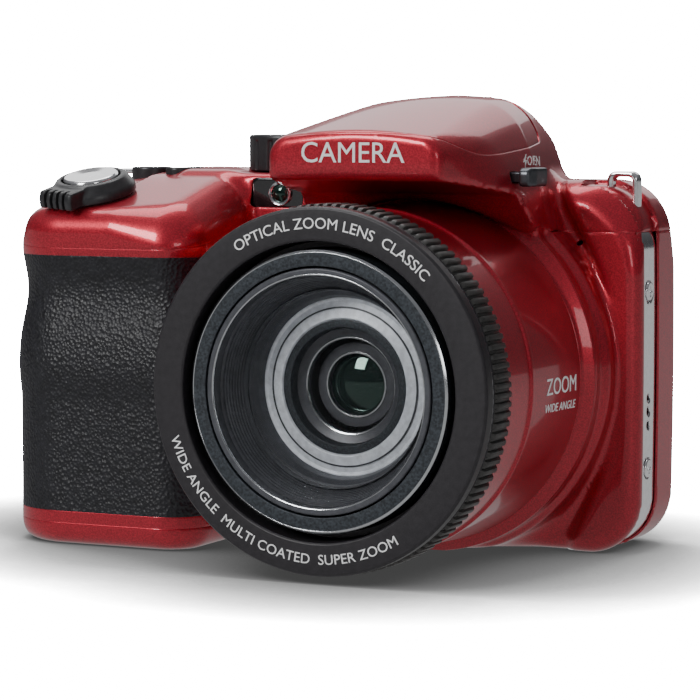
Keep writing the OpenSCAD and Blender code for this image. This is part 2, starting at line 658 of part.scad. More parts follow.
module chassis_frame() color(SILVER) difference() {
    union() {
        block([-54, chassis_y, 4], [52.4, chassis_y + 1.2, 58]);
        for (sx = [-1, 1], z = screw_zs)
            block([sx > 0 ? 52.3 : -half_w + wall + 0.2, split_y - 2, z - 2.4],
                  [sx > 0 ? half_w - wall - 0.2 : -53.9, chassis_y + 1.2, z + 2.4]);
        block([8, chassis_y, 7.1], [32, rear_board_y - 0.6, 8.2]);
    }
    along_y(chassis_y - 1, chassis_y + 2) translate([lens_x - 7, lens_z - 6]) square([14, 12]);
    along_y(chassis_y - 1, chassis_y + 2) for (x = [-44, -30]) translate([x, 14]) square([9, 28]);
    for (sx = [-1, 1], z = screw_zs) peg_x([split_y, z], 1, sx * 55 - 5, sx * 55 + 5);
}
module board_parts(y, list) for (b = list) along_y(y, y + b[2]) translate(b[0]) square(b[1]);
module main_board() color(GREEN) {
    block([-15, board_y, 10], [55, board_y + 1.2, 57]);
    board_parts(board_y - 1.2 + eps, [[[0, 16], [11, 11], 1.2], [[36, 30], [9, 9], 1.2],
                                      [[34, 44], [14, 6], 1.2], [[-12, 40], [7, 10], 1.2]]);
}
module button_board() color(GREEN) {
    block([-50.5, rear_board_y, 4], [-23.5, rear_board_y + 1.1, 56]);
    for (at = rear_keys) peg_y(at, 2, rear_board_y + 1, rear_board_y + 1.4);
}
module tripod_bush() color(BRASS) difference() {
    union() {
        peg_z(socket_at, 4.7, 0, 7);
        peg_z(socket_at, 5.2, wall + eps, wall + 1);
    }
    peg_z(socket_at, socket_r, -1, socket_depth);
}
module battery() color(DARK) difference() {
    block(battery_at, battery_at + battery_size);
    block(battery_at + [0, -1, 4], battery_at + [0.4, battery_size[1] + 1, battery_size[2] - 4]);
}
module battery_holder() color(BLACK) difference() {
    block(battery_at - [1.2, 1.2, 0], battery_at + battery_size + [1.2, 1.2, 1.5]);
    block(battery_at - [gap, gap, 1], battery_at + battery_size + [gap, gap, 0]);
}
module memory_card() color(BLACK) difference() {
    block(card_at, card_at + card_size);
    translate(card_at + [card_size[0], -1, 0]) rotate([0, -45, 0]) cube([4, 5, 4], center = true);
}
module card_socket() color(SILVER) difference() {
    block(card_at + [-1, -0.9, 4], card_at + card_size + [1, 0.9, 1]);
    block(card_at + [-gap, -gap, -1], card_at + card_size + [gap, gap, 0]);
}
module battery_door() color(RED) difference() {
    union() {
        block([door_x0, door_y0, gap], [door_axis[0], door_y1, 2.3]);
        peg_y(door_axis, door_barrel_r, door_y0, door_y1);
    }
    peg_y(door_axis, hinge_pin_r + fit, door_y0 - 1, door_y1 + 1);
    block([-51, -2, -1], [-39, 4, 1.4]);
}
module battery_lock() color(BLACK) difference() {
    block([-50.7, -1.7, gap + 0.1], [-42.7, 3.7, 1.2]);
    for (x = [-49.6:1.6:-43.6]) block([x, -3, 0], [x + 0.7, 5, 0.7]);
}
module door_hinge_pin() color(SILVER) peg_y(door_axis, hinge_pin_r, door_y0 - 3, door_y1 + 1.5);
module port_door() color(BLACK) {
    block([-half_w, port_axis[1], port_z0], [-58, port_y1, port_z1]);
    peg_z(port_axis, port_barrel_r, port_z0, port_z1);
    peg_z(port_axis, 0.5, port_z0 - 1.8, port_z1 + 1.8);
}
module usb_socket() color(SILVER) difference() {
    block([-57, 28.6, 34], [-51.2, 31.6, 42]);
    block([-58, 29.1, 34.5], [-53, 31.1, 41.5]);
}

// ---- rear controls ----

module lcd_module() color(DARK)
    block([screen_lo[0] + 3, 31.6, screen_lo[1] + 3], [screen_hi[0] - 3, 35.2, screen_hi[1] - 3]);
module lcd_window() color(BLACK)
    along_y(rear_y - 1 + eps, rear_y + screen_proud) soft_rect(screen_lo, screen_hi, 1.8);
module nav_pad() color(BLACK) difference() {
    union() {
        peg_y(pad_at, pad_r, rear_y - wall - 0.6, rear_y + 1);
        peg_y(pad_at, pad_r + 1.4, rear_y - wall - 1.2, rear_y - wall - 0.5);
    }
    peg_y(pad_at, 4.8, rear_y - 6, rear_y + 2);
}
module set_button() color(BLACK) peg_y(pad_at, 4.4, rear_y - wall - 1.2, rear_y + 1.2);
module rear_key(i) {
    peg_y(rear_keys[i], key_r, rear_y - wall - 1, rear_y + key_proud);
    peg_y(rear_keys[i], key_r + 1, rear_y - wall - 1.2, rear_y - wall - gap);
}
module play_button() color(BLACK) rear_key(0);
module menu_button() color(BLACK) rear_key(1);
module info_button() color(BLACK) rear_key(2);
module record_button() color(BLACK) rear_key(3);

// ---- top controls ----

module on_deck() translate([shutter_at[0], shutter_at[1], deck_z + (shutter_at[1] - slope_y) * slope_k])
    rotate([deck_slope, 0, 0]) children();
module mode_dial() color(BLACK) {
    translate([dial_at[0], dial_at[1], deck_z + gap]) linear_extrude(dial_h)
        polygon(gear_outline(30, dial_r - 0.5, dial_r, 3.5, 1.8, 0));
    peg_z(dial_at, 2.5, deck_z - 5, deck_z + 1);
}
module zoom_lever() color(BLACK) on_deck() difference() {
    union() {
        translate([0, 0, gap]) cylinder(r = lever_r, h = 3.6, $fn = fine);
        translate([0, 0, -7.4]) cylinder(r = lever_neck_r, h = 8, $fn = fine);
        translate([0, 0, -7.4]) cylinder(r = lever_neck_r + 0.9, h = 0.8, $fn = fine);
        rotate(lever_tab_angle) translate([lever_r - 2, -3, gap]) cube([4.4, 6, 3]);
    }
    cylinder(r = shutter_r + gap, h = 20, center = true, $fn = fine);
}
module shutter_button() color(SILVER) on_deck() {
    translate([0, 0, 1.6]) cylinder(r = shutter_r, h = 3.2, $fn = fine);
    translate([0, 0, -3.4]) cylinder(r = 2.6, h = 5.2, $fn = coarse);
}
module deck_key(i) {
    at = deck_keys[i][0];
    r = deck_keys[i][1];
    flange_z = deck_z - wall - 0.25 - deck_keys[i][2];
    peg_z(at, r, flange_z - 0.4, deck_z + 0.9);
    peg_z(at, r + 0.9, flange_z - 0.9, flange_z);
}
module power_button() color(BLACK) deck_key(0);
module burst_button() color(BLACK) deck_key(1);
module exposure_button() color(BLACK) deck_key(2);

// ---- flash ----

module flash_lid() color(RED) difference() {
    union() {
        intersection() {
            difference() {
                hump(0);
                hump(lid_t);
            }
            lid_zone(lid_gap);
        }
        peg_x([lid_hinge_y, lid_hinge_z], 1.2, lens_x - 7, lens_x + 7);
        block([lens_x - 7, lid_hinge_y - 2, lid_hinge_z - 0.6], [lens_x + 7, lid_hinge_y, lid_hinge_z + 1.2]);
    }
    peg_x([lid_hinge_y, lid_hinge_z], hinge_pin_r + fit, lens_x - 30, lens_x + 30);
    for (x = [lens_x - 10.3, lens_x + 7.1])
        block([x, lid_hinge_y - 1.6, lid_hinge_z - 4], [x + 3.2, lid_hinge_y + 3, lid_hinge_z + 4]);
}
module flash_head() color(GLASS) {
    along_y(-13, -11.2) soft_rect([lens_x - 12, 75.2], [lens_x + 12, 79], 0.8);
    difference() {
        block([lens_x - 11.5, -11.2, 75.4], [lens_x + 11.5, -5, 79.6]);
        block([lens_x - 10.5, -12, 76.2], [lens_x + 10.5, -7, 78.4]);
    }
    peg_x([-9, 77.3], 0.8, lens_x - 10.6, lens_x + 10.6);
}
module flash_hinge_pin() color(SILVER)
    peg_x([lid_hinge_y, lid_hinge_z], hinge_pin_r, lens_x - 10, lens_x + 10);
module flash_release() color(DARK) {
    x = lens_x + hump_half_w;
    y = release_y;
    block([x + 0.3, y, release_z - 1.7], [x + 2.9, y + 8, release_z + 1.7]);
    block([x - wall - 2, y + 2.2, release_z - 0.6], [x + 0.4, y + 5.8, release_z + 0.9]);
    block([x - wall - 2.6, y + 1.6, release_z - 0.4], [x - wall - 1.6, y + 9, release_z + 1]);
}
module af_window() color(BLACK) {
    along_y(drum_y - 0.2, drum_y + wall) soft_rect(af_lo + [fit, fit], af_hi - [fit, fit], 0.95);
    peg_y(af_lamp_at, 2.3, drum_y - 0.5, drum_y + 3);
}

front_shell();
rear_shell();
top_cover();
grip_rubber();
grip_cap();
thumb_rest();
side_trim(-1);  // side_trim_left
side_trim(1);  // side_trim_right
case_screws();
strap_lugs();
lens_skirt();
knurled_ring();
lens_front_ring();
guide_tube();
cam_ring();
lens_stage_1();
lens_stage_2();
front_element();
lens_baffle();
variator_holder();
variator_glass();
guide_rods();
iris_unit();
focus_group();
lens_base_plate();
image_sensor();
zoom_motor();
zoom_pinion();
chassis_frame();
main_board();
button_board();
tripod_bush();
battery();
battery_holder();
memory_card();
card_socket();
battery_door();
battery_lock();
door_hinge_pin();
port_door();
usb_socket();
lcd_module();
lcd_window();
nav_pad();
set_button();
play_button();
menu_button();
info_button();
record_button();
mode_dial();
zoom_lever();
shutter_button();
power_button();
burst_button();
exposure_button();
flash_lid();
flash_head();
flash_hinge_pin();
flash_release();
af_window();
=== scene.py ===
"""Bridge camera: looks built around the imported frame. Lengths are in millimetres until a mesh is made."""
import json
import math

import bpy
import numpy as np
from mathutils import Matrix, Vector


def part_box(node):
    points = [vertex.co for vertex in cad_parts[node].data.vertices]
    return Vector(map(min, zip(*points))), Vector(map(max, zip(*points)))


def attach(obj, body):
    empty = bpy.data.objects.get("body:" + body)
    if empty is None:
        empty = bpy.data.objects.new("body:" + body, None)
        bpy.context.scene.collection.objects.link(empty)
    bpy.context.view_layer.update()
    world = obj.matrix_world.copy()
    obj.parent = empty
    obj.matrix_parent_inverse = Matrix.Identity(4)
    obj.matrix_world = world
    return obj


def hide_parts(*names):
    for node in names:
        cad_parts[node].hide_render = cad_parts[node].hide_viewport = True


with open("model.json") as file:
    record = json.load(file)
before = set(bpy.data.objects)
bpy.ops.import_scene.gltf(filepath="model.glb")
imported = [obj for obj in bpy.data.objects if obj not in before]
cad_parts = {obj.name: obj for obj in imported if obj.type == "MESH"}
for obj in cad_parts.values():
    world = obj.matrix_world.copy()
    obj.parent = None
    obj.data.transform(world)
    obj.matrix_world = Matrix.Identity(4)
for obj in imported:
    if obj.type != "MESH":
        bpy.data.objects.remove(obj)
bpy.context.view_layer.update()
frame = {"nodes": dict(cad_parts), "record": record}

MM = 0.001
SLOT_OF = {s["node"]: s["material_slot"] for s in frame["record"]["subparts"]}


def mm_box(node):
    low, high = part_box(node)
    return np.array(low) / MM, np.array(high) / MM


def centre_of(node):
    low, high = mm_box(node)
    return (low + high) / 2


# ---- driving dimensions and places ----

HALF_W = mm_box("front_shell")[1][0]
SEAM_Z = 60.1
SEAM_DIP = 3.5
SPLIT_Y = mm_box("rear_shell")[0][1]
REAR_Y = mm_box("rear_shell")[1][1]
DECK_Z = 70.6
DECK_SLOPE = 16
SLOPE_Y = 7.0
SHOULDER_Z = 69.6
SHOULDER_R = 13.0
GRIP_TOP_R = 21.5
TOP_Z = mm_box("flash_lid")[1][2]
GRIP_X = mm_box("grip_rubber")[1][0]
GRIP_Y = mm_box("grip_rubber")[0][1]
RUBBER_Z = (mm_box("grip_rubber")[0][2], mm_box("grip_rubber")[1][2])
CAP_Z = mm_box("grip_cap")[1][2]
LENS_X = float(sum(b[0] for b in mm_box("lens_front_ring")) / 2)
LENS_Z = float(sum(b[2] for b in mm_box("lens_front_ring")) / 2)
RING_Y = mm_box("lens_front_ring")[0][1]
TRIM_LOW, TRIM_HIGH = mm_box("side_trim_right")
BROW_Y = -25.2
BROW_Z = 70.6
BROW_HALF = 16.6
HUMP_HALF = 23.0
FACE_Y = 14.5
DRUM_Y = 7.0
GAP = 0.14
STEP = 0.65


# ---- distance fields of the casing ----

def round_and(a, b, r):
    """Intersection of two distance fields with an edge of radius r."""
    return np.minimum(np.maximum(a, b), -r) + np.hypot(np.maximum(a + r, 0), np.maximum(b + r, 0))


def round_or(a, b, r):
    return -round_and(-a, -b, r)


def rect(u, v, low, high, radii):
    """Rectangle, radii at (low u, low v), (high u, low v), (low u, high v) and (high u, high v)."""
    cu, cv = (low[0] + high[0]) / 2, (low[1] + high[1]) / 2
    r = np.where(u < cu, np.where(v < cv, radii[0], radii[2]), np.where(v < cv, radii[1], radii[3]))
    qu = np.abs(u - cu) - (high[0] - low[0]) / 2 + r
    qv = np.abs(v - cv) - (high[1] - low[1]) / 2 + r
    return np.hypot(np.maximum(qu, 0), np.maximum(qv, 0)) + np.minimum(np.maximum(qu, qv), 0) - r


def bump(v, middle, half):
    t = np.clip(1 - ((v - middle) / half) ** 2, 0, 1)
    return t * t


def step_up(v, start, end):
    t = np.clip((v - start) / (end - start), 0, 1)
    return t * t * (3 - 2 * t)


def ramp_to(v, width):
    """Rises from 0 to 1 as v passes through zero."""
    return 1 / (1 + np.exp(np.clip(-v / width * 2.5, -30, 30)))


def lens_radius(x, z):
    return np.hypot(x - LENS_X, z - LENS_Z)


def deck_height(y):
    """The deck is level at the back and slopes down to the shutter button."""
    slope = math.tan(math.radians(DECK_SLOPE))
    d = SLOPE_Y - y
    return DECK_Z - slope * (np.sqrt(d * d + 16.0) + d) / 2 + 0.1


def outline(x, z, shoulder=SHOULDER_R):
    left = rect(x, z, (-HALF_W, 0), (40, DECK_Z), (10, 10, 20, 10))
    right = rect(x, z, (-40, 0), (HALF_W, SHOULDER_Z), (10, 10, 10, shoulder))
    bow = 0.35 * np.clip((np.abs(x) - 50) / 9, 0, 1) * ((z - 35) / 30) ** 2
    return np.minimum(left, right) + bow


def slab(x, y, z):
    """The upright body behind the grip and the lens."""
    upper = x - 42.1 - 0.52 * (70.2 - z)
    lower = x - 52.5 + 0.4 * (18 - z)
    fold = (3.0 * ramp_to(-upper, 1.4) * step_up(z, 46, 56)
        + 2.0 * ramp_to(-lower, 1.6) * step_up(-z, -22, -12))
    front = FACE_Y + fold * step_up(x, 22, 30) - y
    soft = 2.6 + 3.5 * step_up(z, 52, 66) * step_up(x, 30, 40)
    shoulder = SHOULDER_R - 3.5 * step_up(y, 15, 21)
    return round_and(outline(x, z, shoulder), np.maximum(front * 0.9, y - REAR_Y), soft)


def grip(x, y, z):
    plan = rect(x, y, (-HALF_W, GRIP_Y), (GRIP_X, 24), (14, 8, 1, 1))
    top = (z - deck_height(y)) * 0.97
    side = rect(x, z, (-HALF_W, 0), (40, 100), (4.6, 1, 1, 1))
    corner = np.hypot(np.maximum(GRIP_TOP_R - HALF_W - x, 0),
        np.maximum(z - DECK_Z + GRIP_TOP_R, 0)) - GRIP_TOP_R
    side = np.maximum(side, np.where((x < GRIP_TOP_R - HALF_W) & (z > DECK_Z - GRIP_TOP_R), corner, -50))
    ease = 3.6 + 4.2 * np.clip((x + 34) / 14, 0, 1)
    body = round_and(round_and(plan, top, ease), np.maximum(side, -z), 3.4)
    front = np.clip((2 - y) / 12, 0, 1)
    fingers = 1.5 * bump(z, 48.5, 9.5) - 0.5 * bump(z, 34.0, 7.0)
    return body + fingers * front


def lens_wall(x, y, z):
    """The wall with the lamp window, between the grip and the lens."""
    wall = rect(x, z, (-32, 0), (4, DECK_Z), (1, 1, 1, 1))
    return np.maximum(round_and(wall, DRUM_Y - y, 1.6), y - REAR_Y + 6)


def drum(x, y, z):
    r = lens_radius(x, z)
    inner = round_and(r - 34.0, DRUM_Y - y, 0.7)
    outer = round_and(r - 35.3, 10.4 - y, 1.6)
    return np.maximum(round_or(inner, outer, 0.8), y - 20)


def hump_top(y):
    climb, level = 79.0 + 0.176 * (y - BROW_Y), TOP_Z + 0.15
    return (climb + level - np.sqrt((climb - level) ** 2 + 2.4)) / 2


def hump(x, y, z):
    ax = np.abs(x - LENS_X) + 0.17 * np.maximum(y - 10, 0)
    side = round_and(ax - HUMP_HALF, (ax - HUMP_HALF + 0.64 * (z - 71.2)) * 0.842, 6)
    plan = (ax - BROW_HALF - 0.309 * (y - BROW_Y)) * 0.955
    top = (z - hump_top(y) + 1.3 * (ax / 15) ** 2) * 0.98
    rear = ((z - TOP_Z) + 0.85 * (y - 27.2)) * 0.762
    front = BROW_Y - y
    under = (BROW_Z - z - 0.976 * (y - BROW_Y)) * 0.716
    d = round_and(round_and(side, plan, 3), round_and(top, rear, 3.5), 3.2)
    d = round_and(d, round_and(front, under, 1.0), 1.4)
    foot = SEAM_Z + 1 + 6.3 * step_up(-y, -6, 3) + 0.13 * np.maximum(-3 - y, 0) - z
    return round_and(np.maximum(d, y - REAR_Y + 2.5), foot, 0.8)


def casing(x, y, z):
    steep = np.clip((np.abs(z - LENS_Z) / np.maximum(lens_radius(x, z), 1) - 0.35) / 0.45, 0, 1)
    body = round_or(slab(x, y, z), round_and(drum(x, y, z), -z, 1.2), 0.9 + 2.5 * steep)
    body = round_or(body, lens_wall(x, y, z), 2.0)
    body = round_or(body, grip(x, y, z), 2.6)
    body = round_or(body, hump(x, y, z), 3.0)
    bore = np.maximum(lens_radius(x, z) - 32.6, y - DRUM_Y + 0.5)
    body = round_and(body, -bore, 0.6)
    off_channel = np.minimum(3.75 - np.abs(y - SPLIT_Y), np.abs(x) - 47)
    return round_and(body, round_or(off_channel, body + 0.9, 0.35), 0.35)


def gradient(field, p):
    h = 0.02
    g = np.empty_like(p)
    for a in range(3):
        d = np.zeros(3)
        d[a] = h
        g[:, a] = (field(*(p + d).T) - field(*(p - d).T)) / (2 * h)
    return g


def project(field, p, times=3):
    """Moves points onto the field's surface."""
    for _ in range(times):
        g = gradient(field, p)
        step = field(*p.T)[:, None] * g / np.maximum((g * g).sum(1), 0.3)[:, None]
        p = p - np.clip(step, -0.6, 0.6)
    return p


def surface_net(field, low, high, step):
    """Quads around the zero level of a field, one vertex in each cell that it passes through."""
    axes = [np.arange(l, h + step, step) for l, h in zip(low, high)]
    x, y, z = axes[0][:, None, None], axes[1][None, :, None], axes[2][None, None, :]
    f = np.broadcast_to(field(x, y, z), [len(a) for a in axes])
    inside = f < 0
    n = np.array(inside.shape) - 1
    count = sum(inside[i:n[0] + i, j:n[1] + j, k:n[2] + k].astype(np.int8)
        for i in (0, 1) for j in (0, 1) for k in (0, 1))
    cells = np.argwhere((count > 0) & (count < 8))
    number = np.full(n, -1)
    number[tuple(cells.T)] = np.arange(len(cells))
    total, hits = np.zeros((len(cells), 3)), np.zeros(len(cells))
    corners = np.array([(i, j, k) for i in (0, 1) for j in (0, 1) for k in (0, 1)])
    for a in corners:
        for axis in range(3):
            if a[axis] == 0:
                b = a.copy()
                b[axis] = 1
                fa, fb = f[tuple((cells + a).T)], f[tuple((cells + b).T)]
                cross = (fa < 0) != (fb < 0)
                t = np.where(cross, fa / np.where(cross, fa - fb, 1), 0)
                total += np.where(cross[:, None], a + t[:, None] * (b - a), 0)
                hits += cross
    points = np.array(low) + step * (cells + total / hits[:, None])
    quads = []
    for axis in range(3):
        u, v = (axis + 1) % 3, (axis + 2) % 3
        lo = [slice(None)] * 3
        hi = [slice(None)] * 3
        lo[axis], hi[axis] = slice(0, -1), slice(1, None)
        change = inside[tuple(lo)] != inside[tuple(hi)]
        edges = np.argwhere(change)
        edges = edges[(edges[:, u] > 0) & (edges[:, v] > 0) & (edges[:, u] < n[u]) & (edges[:, v] < n[v])]
        ring = []
        for du, dv in ((1, 1), (0, 1), (0, 0), (1, 0)):
            c = edges.copy()
            c[:, u] -= du
            c[:, v] -= dv
            ring.append(number[tuple(c.T)])
        q = np.stack(ring, 1)
        flip = ~inside[tuple(edges.T)]
        q[flip] = q[flip][:, ::-1]
        quads.append(q)
    return project(field, points), np.concatenate(quads)


def triangles(quads):
    return np.concatenate([quads[:, [0, 1, 2]], quads[:, [0, 2, 3]]])


def keep_side(points, faces, value):
    """Keeps the part of a triangle mesh where value is positive, cut along its zero line."""
    s = np.where(np.abs(value) < 0.03, 0.0, value)
    good = s >= 0
    kept = good[faces].sum(1)
    whole = faces[kept == 3]
    cut = faces[(kept == 1) | (kept == 2)]
    if not len(cut):
        return points, whole
    one = good[cut].sum(1) == 1
    lone = np.where(one[:, None], good[cut], ~good[cut]).argmax(1)
    rows = np.arange(len(cut))
    a, b, c = (cut[rows, (lone + i) % 3] for i in range(3))
    pairs = np.concatenate([np.stack([a, b], 1), np.stack([a, c], 1)])
    unique, where = np.unique(np.sort(pairs, 1), axis=0, return_inverse=True)
    where = where.reshape(-1)
    sa, sb = s[unique[:, 0]], s[unique[:, 1]]
    t = (sa / (sa - sb))[:, None]
    fresh = points[unique[:, 0]] * (1 - t) + points[unique[:, 1]] * t
    ab, ac = where[:len(cut)] + len(points), where[len(cut):] + len(points)
    singles = np.stack([a, ab, ac], 1)[one]
    doubles = np.concatenate([np.stack([ab, b, c], 1)[~one], np.stack([ab, c, ac], 1)[~one]])
    every = np.concatenate([whole, singles, doubles])
    points = np.concatenate([points, fresh])
    used, every = np.unique(every, return_inverse=True)
    points, every = points[used], every.reshape(-1, 3)
    solid = (every[:, 0] != every[:, 1]) & (every[:, 1] != every[:, 2]) & (every[:, 0] != every[:, 2])
    return points, every[solid]


def rim(points, faces, normals, depth, soft=0.22):
    """Turns every open edge inwards over a small round, so that a panel shows its thickness."""
    edges = np.concatenate([faces[:, [0, 1]], faces[:, [1, 2]], faces[:, [2, 0]]])
    key = np.sort(edges, 1)
    _, first, times = np.unique(key, axis=0, return_index=True, return_counts=True)
    border = edges[first[times == 1]]
    verts = np.unique(border)
    out = np.zeros_like(points)
    run = points[border[:, 1]] - points[border[:, 0]]
    for end in (0, 1):
        side = np.cross(run, normals[border[:, end]])
        side /= np.maximum(np.linalg.norm(side, axis=1), 1e-9)[:, None]
        np.add.at(out, border[:, end], side)
    o = out[verts]
    o /= np.maximum(np.linalg.norm(o, axis=1), 1e-9)[:, None]
    n = normals[verts]
    place = np.full(len(points), -1)
    place[verts] = np.arange(len(verts))
    rings, faces_out, start = [points], [faces], len(points)
    previous = verts
    for across, down in ((0.6, 0.13), (0.9, 0.4), (1.0, 1.0), (1.0, depth / soft)):
        rings.append(points[verts] + o * soft * across - n * soft * down)
        now = start + np.arange(len(verts))
        a, b = place[border[:, 0]], place[border[:, 1]]
        faces_out.append(np.stack([previous[b], previous[a], now[a]], 1))
        faces_out.append(np.stack([previous[b], now[a], now[b]], 1))
        previous = now
        start += len(verts)
    return np.concatenate(rings), np.concatenate(faces_out)


# ---- Blender objects ----

def make_object(name, points, faces, body, material, smooth=40, nodes=()):
    """One piece in metres, riding its body, in place of the CAD nodes named."""
    mesh = bpy.data.meshes.new(name)
    faces = faces.tolist() if isinstance(faces, np.ndarray) else faces
    mesh.from_pydata((np.asarray(points) * MM).tolist(), [], faces)
    mesh.update()
    mesh.polygons.foreach_set("use_smooth", np.ones(len(mesh.polygons), bool))
    mesh.set_sharp_from_angle(angle=math.radians(smooth))
    obj = bpy.data.objects.new(name, mesh)
    bpy.context.scene.collection.objects.link(obj)
    mesh.materials.append(MATERIALS[material])
    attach(obj, body)
    if nodes:
        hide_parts(*nodes)
    return obj


def panel(name, base, sides, body, material, nodes=(), depth=1.6, field=casing, lift=0.0):
    """A moulded shell: the part of a base surface on the positive side of every field in sides."""
    points, faces = base
    for side in sides:
        points, faces = keep_side(points, faces, side(*points.T))
    normals = gradient(field, points)
    normals /= np.maximum(np.linalg.norm(normals, axis=1), 1e-9)[:, None]
    points = points + normals * lift
    points, faces = rim(points, faces, normals, depth)
    return make_object(name, points, faces, body, material, 35, nodes)


def lathe_mesh(profile, steps, closed=True, flutes=None):
    """Turns [radius, depth] points around the lens axis."""
    angles = np.linspace(0, 2 * math.pi, steps, endpoint=False)
    profile = np.asarray(profile, float)
    r, y = profile[:, 0], profile[:, 1]
    ring = np.stack([LENS_X + np.cos(angles)[:, None] * r, np.broadcast_to(y, (steps, len(r))),
            LENS_Z + np.sin(angles)[:, None] * r], 2).reshape(-1, 3)
    m = len(r)
    faces = []
    for i in range(steps):
        j = (i + 1) % steps
        for k in range(m if closed else m - 1):
            l = (k + 1) % m
            faces.append((i * m + k, i * m + l, j * m + l, j * m + k))
    return ring, faces


def softened(points, radius):
    """Rounds each corner of a closed profile by up to radius."""
    p = [np.array(q[:2], float) for q in points]
    out = []
    for i, q in enumerate(p):
        a, b = p[i - 1] - q, p[(i + 1) % len(p)] - q
        la, lb = np.linalg.norm(a), np.linalg.norm(b)
        r = min(points[i][2] if len(points[i]) > 2 else radius, la * 0.45, lb * 0.45)
        a, b = a / la * r, b / lb * r
        for t in (0, 0.25, 0.5, 0.75, 1):
            out.append(q + a * (1 - t) ** 2 + b * t * t)
    return out


def turned(name, profile, body, material, nodes=(), soft=0.12, steps=192, smooth=40):
    points, faces = lathe_mesh(softened(profile, soft), steps)
    return make_object(name, points, faces, body, material, smooth, nodes)


def turned_about(name, profile, at, axis, body, material, nodes=(), soft=0.12, steps=96):
    """A turned piece whose profile is [radius, height] along axis "x", "y", "z" or a direction."""
    directions = {"x": (1, 0, 0), "y": (0, 1, 0), "z": (0, 0, 1)}
    up = Vector(directions.get(axis, axis)).normalized()
    side = up.orthogonal().normalized()
    third = up.cross(side)
    frame_axes = np.array([side, third, up])
    rounded = np.array(softened(profile, soft))
    angles = np.linspace(0, 2 * math.pi, steps, endpoint=False)
    m = len(rounded)
    local = np.stack([np.cos(angles)[:, None] * rounded[:, 0], np.sin(angles)[:, None] * rounded[:, 0],
            np.broadcast_to(rounded[:, 1], (steps, m))], 2).reshape(-1, 3)
    faces = [(i * m + k, (i + 1) % steps * m + k, (i + 1) % steps * m + (k + 1) % m, i * m + (k + 1) % m)
        for i in range(steps) for k in range(m)]
    return make_object(name, local @ frame_axes + np.array(at), faces, body, material, 40, nodes)


def round_key(node, profile, at, axis):
    turned_about(node + "_cap", profile, at, axis, node, "key_black", [node], 0.2, 64)


def sculpt(name, field, low, high, step, body, material, nodes=(), smooth=40):
    """A piece made straight from its distance field."""
    points, quads = surface_net(field, low, high, step)
    return make_object(name, points, quads, body, material, smooth, nodes)


def plate(low, high, corner, edge, flat_axis):
    """Field of a slab with rounded corners across flat_axis and softened edges."""
    u, v = [a for a in range(3) if a != flat_axis]
    middle, half = (low[flat_axis] + high[flat_axis]) / 2, (high[flat_axis] - low[flat_axis]) / 2

    def field(x, y, z):
        p = (x, y, z)
        face = rect(p[u], p[v], (low[u], low[v]), (high[u], high[v]), (corner,) * 4)
        return round_and(face, np.abs(p[flat_axis] - middle) - half, edge)
    return field


def around(low, high, by=0.6):
    return np.array(low) - by, np.array(high) + by


def soft_block(name, low, high, corner, edge, flat_axis, body, material, nodes=(), step=0.35):
    return sculpt(name, plate(low, high, corner, edge, flat_axis), *around(low, high), step, body, material,
        nodes)


def text_shape(words, size, thick=0.03):
    """Letters in the XY plane, centred on the origin, thick along Z."""
    curve = bpy.data.curves.new("words", "FONT")
    curve.body = words
    curve.size = size
    curve.align_x, curve.align_y = "CENTER", "CENTER"
    curve.extrude = thick
    curve.resolution_u = 4
    holder = bpy.data.objects.new("words", curve)
    bpy.context.scene.collection.objects.link(holder)
    mesh = holder.to_mesh()
    points = np.array([v.co[:] for v in mesh.vertices])
    faces = [tuple(p.vertices) for p in mesh.polygons]
    holder.to_mesh_clear()
    bpy.data.objects.remove(holder)
    bpy.data.curves.remove(curve)
    return points, faces


def printed(name, parts, body, material="white_print"):
    """One piece holding several printed words, each already bent into place."""
    points, faces, start = [], [], 0
    for p, f in parts:
        points.append(p)
        faces += [tuple(i + start for i in q) for q in f]
        start += len(p)
    return make_object(name, np.concatenate(points), faces, body, material, 20)


def on_ring(words, size, radius, middle_deg, y, spread=1.0):
    """Words on the ring's face, round the lens axis, reading clockwise from the front."""
    p, faces = text_shape(words, size)
    a = math.radians(middle_deg) - p[:, 0] * spread / radius
    r = radius + p[:, 1]
    return np.stack([LENS_X + r * np.cos(a), y - p[:, 2], LENS_Z + r * np.sin(a)], 1), faces


def under_ring(words, size, radius, middle_deg, y, spread=1.0):
    """Words along the bottom of the ring, reading anticlockwise from the front."""
    p, faces = text_shape(words, size)
    a = math.radians(middle_deg) + p[:, 0] * spread / radius
    r = radius - p[:, 1]
    return np.stack([LENS_X + r * np.cos(a), y - p[:, 2], LENS_Z + r * np.sin(a)], 1), faces


def on_plane(words, size, at, right, up):
    p, faces = text_shape(words, size)
    right, up = np.array(right, float), np.array(up, float)
    out = np.cross(right, up)
    return np.array(at) + p[:, :1] * right + p[:, 1:2] * up + p[:, 2:] * out, faces


# ---- materials ----

MATERIALS = {}


def add(tree, kind):
    return tree.nodes.new("ShaderNode" + kind)


def wire(tree, source, output, target, socket):
    tree.links.new(source.outputs[output], target.inputs[socket])


